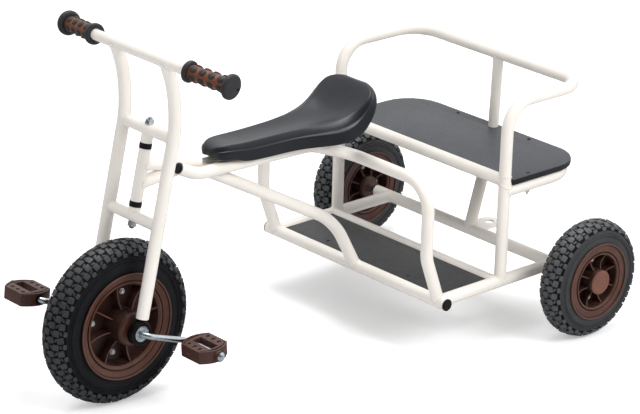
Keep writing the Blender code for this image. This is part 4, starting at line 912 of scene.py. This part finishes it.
rearRim = dict(frontRim, hubHalf=0.033, hubR=0.0255, dishR=0.054, mouth=0.0255, mouthR=0.0555,
               faceHalf=0.0305, faceR=0.0612, lipHalf=0.033, lipR=0.0813, seatR=0.0713, firstRib=25, count=96,
               boltR=0.0405, firstBolt=2.5, innerRib=0.0245)
rimBolt = {"headR": 0.0046, "headHeight": 0.0030, "washerR": 0.0060, "washer": 0.0009, "socketR": 0.0022,
           "socketDepth": 0.0011, "edge": 0.0003}


def rimShell(name, values):
    hubHalf, hubR, hubEdge, web = (values[key] for key in ("hubHalf", "hubR", "hubEdge", "web"))
    lipHalf, seatR = values["lipHalf"], values["seatR"]
    half = [(hubHalf, values["bore"]), (hubHalf, hubR - hubEdge), (hubHalf - hubEdge, hubR),
            (web, hubR - 0.0002), (web, values["dishR"]), (values["mouth"], values["mouthR"])]
    half += [(values[edge + "Half"] + x, values[edge + "R"] + out) for edge, x, out in values["steps"]]
    half += [(lipHalf - 0.007, seatR), (lipHalf - 0.013, seatR - 0.003)]
    return spun(name, half + [(-x, r) for x, r in reversed(half)], values["count"], values["edge"])


def rimRib(values):
    # one plate across the dish, its two free edges scalloped
    inner, outer = values["innerRib"], values["mouthR"] + 0.001
    half = values["mouth"] - 0.0002
    rib = sized(made(bpy.ops.mesh.primitive_cube_add, size=1),
                (2 * half, values["ribThickness"], outer - inner), (0, 0, (inner + outer) / 2))
    editing(rib, False)
    selectBy(rib, "EDGE", lambda a, b: abs(a.z - b.z) > 0.01)
    bpy.ops.mesh.subdivide(number_cuts=values["ribCuts"])
    doneEditing()
    for vert in rib.data.vertices:
        share = (vert.co.z - inner) / (outer - inner)
        vert.co.x *= 1 - values["ribDip"] * math.sin(math.pi * share) / half
    roundEdges(rib, values["edge"], sharpest=50)
    return rib


def boltHead(values, x):
    # a hexagon head with a round socket on its washer, facing along x
    headR, height, thickness = values["headR"], values["headHeight"], values["washer"]
    head = made(bpy.ops.mesh.primitive_cylinder_add, vertices=6, radius=headR, depth=height)
    editing(head, False)
    selectBy(head, "FACE", lambda middle, normal: normal.z > 0.9)
    bpy.ops.mesh.inset(thickness=headR - values["socketR"] - 0.0008, depth=0)
    bpy.ops.mesh.inset(thickness=0.0003, depth=-values["socketDepth"])
    doneEditing()
    head.data.transform(moved(z=height / 2 + thickness))
    washer = made(bpy.ops.mesh.primitive_cylinder_add, vertices=28, radius=values["washerR"], depth=thickness)
    washer.data.transform(moved(z=thickness / 2))
    for piece in (head, washer):
        roundEdges(piece, values["edge"])
    bolt = joinAll([head, washer], "bolt")
    bolt.data.transform(moved(x) @ turned(math.radians(90), "Y"))
    return bolt


def addRim(values, name, body, hub):
    shell = rimShell(name + "_shell", values)
    first = math.radians(values["firstRib"])
    ribs = scattered(rimRib(values), [turned(-first - 2 * math.pi * index / values["ribs"])
                                      for index in range(values["ribs"])])
    rim = joinAll([shell] + ribs, name + "_moulding")
    standAt(rim, hub)
    dress(rim, "rimBrown", body, [name], 32)

    def recolourWhere(finish, test):
        # by the distance along the axle, that out from it, and the normal
        recolour(rim, finish, lambda middle, normal: test(abs(middle.x - hub.x),
                                                          math.hypot(*(middle - hub).yz), normal))

    hubR, mouthR, mouth = values["hubR"], values["mouthR"], values["mouth"]
    # the deep dish painted darker, painted shade in the recess
    recolourWhere("dishBrown", lambda x, out, normal: out < mouthR and x < values["hubHalf"] - 0.0002)
    # the ribs' edges facing along the axle painted paler, a painted highlight
    recolourWhere("ribBrown", lambda x, out, normal: abs(normal.x) > 0.75 and hubR < out < mouthR and
                  x > values["web"] + 0.003)
    # the moulded steps get painted highlight on their edges and painted shade in their grooves
    for finish, rings in values["rings"].items():
        spans = [(values[edge + "R"] + low, values[edge + "R"] + high) for edge, low, high in rings]
        recolourWhere(finish, lambda x, out, normal: x > mouth and
                      any(low < out < high for low, high in spans))
    turns = [math.radians(values["firstBolt"]) + 2 * math.pi * index / values["bolts"]
             for index in range(values["bolts"])]
    places = [turned(-turn) @ moved(z=values["boltR"]) @ facing(way) for turn in turns for way in (1, -1)]
    bolts = joinAll(scattered(boltHead(rimBolt, values["web"]), places), name + "_bolts")
    standAt(bolts, hub)
    dress(bolts, "boltZinc", body, (), 30)


addRim(frontRim, "front_rim", "front_wheel", frontHub)
for side in sides:
    addRim(rearRim, "rear_rim_" + side, "rear_wheel_" + side, rearHubs[side])
print("rims made")


# Hub caps: a shallow disc with a rolled edge and a low ring
hubCap = {"start": 0.0333, "thickness": 0.004, "radius": 0.0255, "ringR": 0.019, "count": 72, "edge": 0.0004}


def addHubCaps(values):
    start, radius, ringR = values["start"], values["radius"], values["ringR"]
    top = start + values["thickness"]
    for side, way in sides.items():
        outline = [(start, 0), (start, radius), (top - 0.0007, radius), (top - 0.0007, ringR + 0.0030),
                   (top, ringR + 0.0018), (top, ringR), (top - 0.0008, ringR - 0.0012), (top - 0.0005, 0)]
        cap = spun("hub_cap_" + side + "_disc", outline, values["count"], values["edge"])
        standAt(cap, rearHubs[side], facing(way))
        dress(cap, "capBrown", "rear_wheel_" + side, ["hub_cap_" + side], 30)


addHubCaps(hubCap)
print("hub caps made")


# The crank: one bent rod through the hub, both arms and both pedal pins, and a push nut on each end
crank = {"angle": -19.5, "arm": 0.108, "rodR": 0.006, "hubBend": 0.0165, "pedalBend": 0.0130, "armX": 0.0955,
         "pedalEndX": 0.0960, "nutR": 0.0090, "nutHeight": 0.0060,
         # half of the nut's outline: shares of its height and of its radius
         "nutShares": [(0, 1), (0.18, 1), (0.30, 0.90), (0.42, 0.82), (0.60, 0.76), (0.84, 0.52),
                       (0.98, 0.22)]}
crankWay = Vector((0, math.cos(math.radians(crank["angle"])), math.sin(math.radians(crank["angle"]))))

# Pedals: a curved groove round each end of the opening, above and below
pedalGroove = {"radius": 0.0435, "width": 0.0021, "depth": 0.0022, "inner": 0.0048, "outer": 0.0122,
               "height": 0.0127, "tilt": {"left": 4, "right": -5}, "halfSpan": 0.0305}

# Pedal studs: low domes in the pedal's recesses, each with a thin raised rim round it, and collars at the pin,
# whose black is painted shade in the socket round it
pedalStuds = {"fromInner": 0.03975, "pitch": 0.0165, "row": 0.023, "across": 3, "height": 0.0127,
              "studR": 0.0034, "studStretch": 1.15, "studHeight": 0.0026, "rimR": 0.0051,
              "rimThickness": 0.00075, "rimSink": 0.0004, "floor": 0.0030, "collarR": 0.0098,
              "collarBore": 0.0064, "collarWidth": 0.0016, "collarOut": 0.4}

# Solids whose shape is right, copied with their sharp edges rounded
softenedNodes = {
    "tow_plate": {"edge": 0.0008, "finish": "creamPaint", "slot": "cream_paint", "body": "frame"},
    "footplate": {"edge": 0.0009, "finish": "shadedFootBoard", "slot": "grey_board", "body": "frame"},
    "bench_board": {"edge": 0.0014, "finish": "embossedBoard", "slot": "grey_board", "body": "frame"},
}
for side in sides:
    softenedNodes["pedal_" + side] = {"edge": 0.0009, "finish": "pedalBrown", "slot": "pedal_plastic",
                                      "body": "pedal_" + side}
for side in sides:
    softenedNodes["bearing_block_" + side] = {"edge": 0.0007, "finish": "deepBlack", "slot": "black_plastic",
                                              "body": "steering"}


def grooveCutter(values, x, way):
    # half of a ring, standing through one face of the pedal
    radius, half = values["radius"], values["width"] / 2
    inner, outer = radius - half, radius + half
    low, high = values["height"] - values["depth"], values["height"] + 0.002
    ring = spun("groove", [(low, inner), (low, outer), (high, outer), (high, inner)], 72)
    ring.data.transform(turned(math.radians(-90), "Y"))
    editing(ring)
    bpy.ops.mesh.bisect(plane_co=(0.0001, 0, 0), plane_no=(way, 0, 0), clear_inner=True, use_fill=True)
    for end in (1, -1):
        bpy.ops.mesh.select_all(action="SELECT")
        bpy.ops.mesh.bisect(plane_co=(0, end * values["halfSpan"], 0), plane_no=(0, end, 0), clear_outer=True,
                            use_fill=True)
    bpy.ops.mesh.select_all(action="SELECT")
    bpy.ops.mesh.normals_make_consistent(inside=False)
    doneEditing()
    ring.data.transform(moved(x - way * radius))
    return ring


def pedalPlace(side):
    tilt = math.radians(pedalGroove["tilt"][side])
    return Matrix.Translation(frontHub + crankWay * crank["arm"] * sides[side]) @ turned(tilt)


def cutPedalGrooves(pedal, side, values):
    way = sides[side]
    low, high = (corner.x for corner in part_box("pedal_left"))
    cutters = []
    for x, end in ((low + values["inner"], -1), (high - values["outer"], 1)):
        cutters += scattered(grooveCutter(values, x * way, end * way),
                             [pedalPlace(side) @ turned(face) for face in (0, math.pi)])
    for cutter in cutters:
        cutAway(pedal, cutter)


def soften(node, values):
    piece = copied(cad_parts[node], Matrix.Identity(4))
    piece.parent = None
    for key in list(piece.keys()):
        del piece[key]
    editing(piece)
    bpy.ops.mesh.remove_doubles(threshold=mergeGap)
    bpy.ops.mesh.dissolve_limited(angle_limit=math.radians(2))
    doneEditing()
    if node.startswith("pedal_"):
        cutPedalGrooves(piece, node.split("_")[1], pedalGroove)
    roundEdges(piece, values["edge"], 3, 48)
    piece.name = node + "_rounded"
    dress(piece, values["finish"], values["body"], [node], 40)


for nodeName, nodeValues in softenedNodes.items():
    soften(nodeName, nodeValues)
print("boards, pedals and bearing blocks rounded")


# Bearing faces: bright pressed rings round the axle
bearingFace = {"bore": 0.0063, "radius": 0.0155, "groove": 0.0009, "count": 56, "edge": 0.0002,
               "rings": (0.0132, 0.0126, 0.0112, 0.0106, 0.0090, 0.0084)}


def addBearingFaces(values):
    a, b, c, d, e, f = values["rings"]
    for side, way in sides.items():
        low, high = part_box("bearing_face_" + side)
        outer, inner = (high.x, low.x) if way > 0 else (-low.x, -high.x)
        deep = outer - values["groove"]
        outline = [(inner, values["bore"]), (inner, values["radius"]), (outer, values["radius"]), (outer, a),
                   (deep, b), (deep, c), (outer, d), (outer, e), (deep, f), (deep, values["bore"])]
        face = spun("bearing_face_" + side + "_rings", outline, values["count"], values["edge"])
        standAt(face, (0, frontHub.y, frontHub.z), facing(way))
        dress(face, "brightZinc", "steering", ["bearing_face_" + side], 40)


addBearingFaces(bearingFace)
print("bearing faces made")


def addCrank(values):
    radius, height = values["nutR"], values["nutHeight"]
    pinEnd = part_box("crank_axle")[1].x - height
    arm = crankWay * values["arm"]
    half = [arm + Vector((pinEnd, 0, 0)), arm + Vector((values["pedalEndX"], 0, 0)),
            Vector((values["armX"], 0, 0))]
    corners = [frontHub + point for point in half] + [frontHub - point for point in reversed(half)]
    bends = [values[bend + "Bend"] for bend in ("pedal", "hub", "hub", "pedal")]
    rod = piped("crank_rod", corners, bends, values["rodR"], 10)
    outline = [(height * up, radius * out) for up, out in values["nutShares"]]
    nuts = scattered(spun("nut", [(0, 0)] + outline + [(height, 0)], 40),
                     [moved(*corners[0]) @ facing(1), moved(*corners[-1]) @ facing(-1)])
    dress(joinAll([rod] + nuts, "crank_rod_and_nuts"), "brightZinc", "front_wheel",
          ["crank_axle"], 40)


addCrank(crank)
print("crank bent")


def addPedalStuds(values):
    inner, outer = (corner.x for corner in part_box("pedal_left"))
    width, bore, radius = values["collarWidth"], values["collarBore"], values["collarR"]
    for side, way in sides.items():
        body, place = "pedal_" + side, pedalPlace(side)
        stud = sized(made(bpy.ops.mesh.primitive_uv_sphere_add, segments=16, ring_count=10, radius=1),
                     (values["studR"] * values["studStretch"], values["studR"], values["studHeight"]))
        editing(stud)
        bpy.ops.mesh.bisect(plane_co=(0, 0, 0), plane_no=(0, 0, 1), clear_inner=True)
        doneEditing()
        rim = made(bpy.ops.mesh.primitive_torus_add, major_segments=28, minor_segments=8,
                   major_radius=values["rimR"], minor_radius=values["rimThickness"])
        columns = [way * (inner + values["fromInner"] + (index - 1) * values["pitch"])
                   for index in range(values["across"])]
        spots = [place @ moved(x, y) @ turned(face) for x in columns for y in (-values["row"], values["row"])
                 for face in (0, math.pi)]
        domes = scattered(stud, [spot @ moved(z=values["height"] - values["floor"]) for spot in spots])
        rims = scattered(rim, [spot @ moved(z=values["height"] - values["rimSink"]) for spot in spots])
        # black collars where the pin goes in and comes out, their black painted shade in the socket round the
        # pin
        collar = spun("collar", [(0, bore), (0, radius - 0.0006), (0.0006, radius), (width, radius),
                                 (width, bore)], 36)
        collars = scattered(collar, [place @ facing(way) @ moved(x) for x in
                                     (inner - width, outer - width * values["collarOut"])])
        dress(joinAll(collars, body + "_black_shade_collars"), "deepBlack", body, (), 30)
        dress(joinAll(domes, body + "_studs"), "blackRubber", body)
        dress(joinAll(rims, body + "_stud_rims"), "capBrown", body)


addPedalStuds(pedalStuds)
print("pedal studs set")


# Grips: orange barrel with rows of black studs, a black flange at each end, a vent hole in the end disc
grip = {
    "start": 0.0093, "end": 0.1210, "bore": 0.0113, "barrelR": 0.0150, "innerR": 0.0210, "innerWidth": 0.0105,
    "endR": 0.0245, "endWidth": 0.0130, "studRows": 5, "studsARow": 4, "firstRow": 38, "studLength": 0.0080,
    "studWidth": 0.0075, "studHeight": 0.0034, "studSink": 0.0009, "swell": 0.00045, "barrelSteps": 24,
    "ventR": 0.0026, "ventDepth": 0.006, "ventAt": (-0.0080, 0.0117, -0.0067),
}


def gripBarrel(values):
    # a barrel with five soft swellings between its flanges
    low, high = values["start"] + values["innerWidth"] - 0.001, values["end"] - values["endWidth"] + 0.001
    outline = [(low, values["bore"])]
    for index in range(values["barrelSteps"] + 1):
        share = index / values["barrelSteps"]
        swell = values["swell"] * math.cos(2 * math.pi * values["studsARow"] * share)
        outline.append((low + (high - low) * share, values["barrelR"] - 0.0003 - swell))
    return spun("barrel", outline + [(high, values["bore"])], 56)


def gripFlanges(values):
    bore, radius = values["bore"], values["innerR"]
    inner, outer = values["start"], values["start"] + values["innerWidth"]
    small = spun("small_flange", [(inner, bore), (inner, radius - 0.003), (inner + 0.0014, radius - 0.0007),
                                  (inner + 0.0030, radius), (outer - 0.0030, radius),
                                  (outer - 0.0012, radius - 0.0012), (outer, radius - 0.0040), (outer, bore)],
                 56, 0.0004)
    inner, outer, radius = values["end"] - values["endWidth"], values["end"], values["endR"]
    large = spun("end_flange", [(inner, bore), (inner, radius - 0.0055), (inner + 0.0016, radius - 0.0022),
                                (inner + 0.0042, radius - 0.0003), (outer - 0.0046, radius),
                                (outer - 0.0022, radius - 0.0008), (outer - 0.0006, radius - 0.0026),
                                (outer, radius - 0.0055), (outer - 0.0002, 0), (outer - 0.006, 0),
                                (outer - 0.006, bore)], 64, 0.0005)
    return [small, large]


def addGrips(values):
    low, high = values["start"] + values["innerWidth"], values["end"] - values["endWidth"]
    for side, way in sides.items():
        name, start, axis = "grip_" + side, gripStart[side], gripAxis[side]
        barrel = gripBarrel(values)
        flanges = gripFlanges(values)
        stud = sized(made(bpy.ops.mesh.primitive_uv_sphere_add, segments=18, ring_count=10, radius=1),
                     (values["studLength"], values["studWidth"], values["studHeight"]),
                     (0, 0, values["barrelR"] - values["studSink"]))
        spots = []
        for row in range(values["studRows"]):
            turn = turned(math.radians(values["firstRow"]) + 2 * math.pi * row / values["studRows"])
            for index in range(values["studsARow"]):
                spots.append(turn @ moved(low + (high - low) * (index + 0.5) / values["studsARow"]))
        studs = joinAll(scattered(stud, spots), name + "_studs")
        flanges = joinAll(flanges, name + "_flanges")
        for piece in (barrel, studs, flanges):
            piece.data.transform(Matrix.Translation(start) @ aimed(axis, "X", "Z"))
        x, aft, up = values["ventAt"]
        vent = start + axis.normalized() * values["end"] + Vector((way * x, aft, up))
        drill = made(bpy.ops.mesh.primitive_cylinder_add, vertices=24, radius=values["ventR"],
                     depth=2 * values["ventDepth"])
        drill.data.transform(Matrix.Translation(vent) @ aimed(axis, "Z", "Y"))
        cutAway(flanges, drill)
        barrel.name = name + "_barrel"
        dress(barrel, "gripOrange", "steering", [name], 60)
        dress(flanges, "gripBlack", "steering", (), 32)
        dress(studs, "gripBlack", "steering", (), 60)


addGrips(grip)
print("grips made")


# Screws through the boards, and the threaded ends with their nuts under the bench
boardScrews = {
    "headR": 0.0042, "headHeight": 0.0011, "slotR": 0.0016,
    "bench": [(railX, 0.4057), (-railX, 0.4057), (0.1055, 0.5517), (-0.1055, 0.5517)],
    "footplate": [(0.122, 0.2015), (-0.122, 0.2015)],
    "endR": 0.0029, "endLength": 0.0085, "threads": 7, "nutR": 0.0052, "nutHeight": 0.0038,
    "nutEdge": 0.0004,
}


def addBoardScrews(values):
    height, radius, slotR = values["headHeight"], values["headR"], values["slotR"]
    head = spun("head", [(-0.003, 0), (-0.003, radius * 0.5), (0, radius), (height * 0.5, radius * 0.93),
                         (height, radius * 0.6), (height, slotR), (height * 0.1, slotR * 0.8),
                         (height * 0.1, 0)], 28)
    head.data.transform(turned(math.radians(-90), "Y"))
    benchTop, footTop = (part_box(board)[1].z for board in ("bench_board", "footplate"))
    heads = scattered(head, [moved(x, y, benchTop) for x, y in values["bench"]] +
                      [moved(x, y, footTop) for x, y in values["footplate"]])
    under = supportZ - tubeR
    nut = made(bpy.ops.mesh.primitive_cylinder_add, vertices=6, radius=values["nutR"],
               depth=values["nutHeight"], location=(0, 0, under - values["nutHeight"] / 2))
    applyPlace(nut)
    roundEdges(nut, values["nutEdge"])
    endR, length = values["endR"], values["endLength"]
    pitch = length / values["threads"]
    thread = [(0, 0)]
    for index in range(values["threads"]):
        thread += [(index * pitch, endR * 0.86), ((index + 0.5) * pitch, endR)]
    rod = spun("rod", thread + [(length, endR * 0.7), (length, 0)], 20)
    rod.data.transform(moved(z=under) @ turned(math.radians(90), "Y"))
    ends = [copied(piece, moved(x, y)) for x, y in values["bench"] for piece in (nut, rod)]
    discard(nut, rod)
    dress(joinAll(heads, "board_screws"), "blackRubber", "frame", (), 30)
    dress(joinAll(ends, "bench_screw_ends"), "boltZinc", "frame", (), 30)


addBoardScrews(boardScrews)
print("board screws set")


# Saddle: a grid pulled to the moulded form, station by station from nose to tail, given its wall and smoothed
saddle = {
    "nose": -0.7265, "length": 0.3785, "baseZ": 0.433, "rise": 0.098, "halfWidth": 0.0905, "depth": 0.039,
    "wall": 0.0035, "rows": 36, "easings": 2, "smoothing": 2,
    # shares of the length, the crest's rise, its half width, those of the bulge and the lower edge,
    # the side's depth, the sink of the middle; then the section's tilt in degrees
    "stations": [
        (0.003, 0.290, 0.050, 0.120, 0.090, 0.30, 0.00, 0),
        (0.008, 0.342, 0.127, 0.232, 0.199, 0.53, 0.01, 0),
        (0.024, 0.393, 0.204, 0.320, 0.293, 0.69, 0.03, 0),
        (0.049, 0.418, 0.271, 0.392, 0.365, 0.76, 0.04, 0),
        (0.096, 0.416, 0.331, 0.436, 0.414, 0.76, 0.05, 0),
        (0.133, 0.408, 0.359, 0.448, 0.442, 0.79, 0.06, 0),
        (0.170, 0.399, 0.370, 0.453, 0.454, 1.00, 0.08, 0),
        (0.281, 0.395, 0.368, 0.477, 0.484, 1.00, 0.09, 0),
        (0.387, 0.398, 0.380, 0.510, 0.519, 1.00, 0.13, 0),
        (0.493, 0.403, 0.393, 0.541, 0.552, 1.00, 0.18, 1),
        (0.598, 0.410, 0.444, 0.669, 0.696, 1.00, 0.23, 2),
        (0.704, 0.414, 0.513, 0.856, 0.923, 1.00, 0.23, 6),
        (0.757, 0.427, 0.557, 0.917, 0.994, 1.00, 0.19, 12),
        (0.810, 0.459, 0.631, 0.914, 1.000, 0.99, 0.15, 24),
        (0.836, 0.507, 0.652, 0.915, 0.985, 0.95, 0.13, 33),
        (0.863, 0.570, 0.696, 0.920, 0.983, 0.85, 0.09, 40),
        (0.889, 0.635, 0.740, 0.918, 0.976, 0.72, 0.05, 47),
        (0.915, 0.728, 0.765, 0.897, 0.961, 0.56, 0.03, 54),
        (0.950, 0.837, 0.773, 0.850, 0.893, 0.38, -0.03, 63),
        (0.963, 0.888, 0.739, 0.808, 0.827, 0.36, -0.05, 66),
        (0.984, 0.939, 0.646, 0.663, 0.624, 0.31, -0.08, 70),
        (0.995, 0.974, 0.530, 0.552, 0.519, 0.28, -0.08, 74),
        (0.999, 0.992, 0.331, 0.354, 0.331, 0.24, -0.05, 78),
    ],
    "top": [(0.50, 0.80), (0.90, 0.16)],                               # of the crest, and of the sink
    "flank": [(0.0, 0.0), (0.24, 0.05), (0.56, 0.20), (0.68, 0.31), (0.76, 0.345), (0.92, 0.355), (1.0, 0.42),
              (1.01, 0.56)],                                          # crest to bulge, and of the depth
}


def stationAt(stations, share):
    for near, far in zip(stations, stations[1:]):
        if share <= far[0]:
            part = max(0, (share - near[0]) / (far[0] - near[0]))
            return [start + (end - start) * part for start, end in zip(near, far)]
    return list(stations[-1])


def saddleSection(values, station):
    along, rise, crest, bulge, edge, depth, sink, tilt = station
    width, side, low = values["halfWidth"], values["depth"] * depth, -sink * values["depth"]
    half = [(0, low)] + [(crest * share * width, low * down) for share, down in values["top"]]
    half += [((crest + (bulge - crest) * share) * width, -side * down) for share, down in values["flank"]]
    half.append((edge * width, -side))
    centre = at(0, values["nose"] + values["length"] * along, values["baseZ"] + values["rise"] * rise)
    up = Vector((0, -math.sin(math.radians(tilt)), math.cos(math.radians(tilt))))
    whole = [(-x, z) for x, z in reversed(half[1:])] + half
    return [centre + Vector((x, 0, 0)) + up * z for x, z in whole]


def addSaddle(values):
    first, last = values["stations"][0][0], values["stations"][-1][0]
    sections = []
    for row in range(values["rows"]):
        share = first + (last - first) * (1 - math.cos(math.pi * row / (values["rows"] - 1))) / 2
        sections.append(saddleSection(values, stationAt(values["stations"], share)))
    for easing in range(values["easings"]):
        # each point drawn towards the middle of its neighbours fore and aft
        eased = [[point.lerp((before + after) / 2, 0.5) for before, point, after in zip(*rows)]
                 for rows in zip(sections, sections[1:], sections[2:])]
        sections = [sections[0]] + eased + [sections[-1]]
    # both ends are closed by a row along the lower edge
    columns = len(sections[0])
    closing = [[section[0].lerp(section[-1], 0.05 + 0.9 * index / (columns - 1)) for index in range(columns)]
               for section in (sections[0], sections[-1])]
    sections = [closing[0]] + sections + [closing[1]]
    rows = len(sections)
    shell = made(bpy.ops.mesh.primitive_grid_add, x_subdivisions=columns - 1, y_subdivisions=rows - 1, size=2)
    for vert in shell.data.vertices:
        column = round((vert.co.x + 1) / 2 * (columns - 1))
        row = round((vert.co.y + 1) / 2 * (rows - 1))
        vert.co = sections[row][column]
    if shell.data.polygons[len(shell.data.polygons) // 2].normal.z < 0:
        editing(shell)
        bpy.ops.mesh.flip_normals()
        doneEditing()
    wall = shell.modifiers.new("wall", "SOLIDIFY")
    wall.thickness, wall.offset = values["wall"], -1
    smooth = shell.modifiers.new("smooth", "SUBSURF")
    smooth.levels = smooth.render_levels = values["smoothing"]
    applyModifiers(shell)
    shell.name = "saddle_shell"
    dress(shell, "saddleBlack", "frame", ["saddle"], 60)


addSaddle(saddle)
print("saddle shaped")


# Solids of the frame that keep their own mesh and get a better finish
keptNodes = {
    "blackRubber": ["foot_cap_left", "foot_cap_right", "stop_plug_left", "stop_plug_right",
                    "steering_bush_lower", "steering_bush_upper"],
    "brightZinc": ["rear_axle", "axle_spacer_left", "axle_spacer_right", "steering_bolt"],
}
for finishName, names in keptNodes.items():
    for nodeName in names:
        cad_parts[nodeName].data.materials.clear()
        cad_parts[nodeName].data.materials.append(materials[finishName])
print("solids finished")
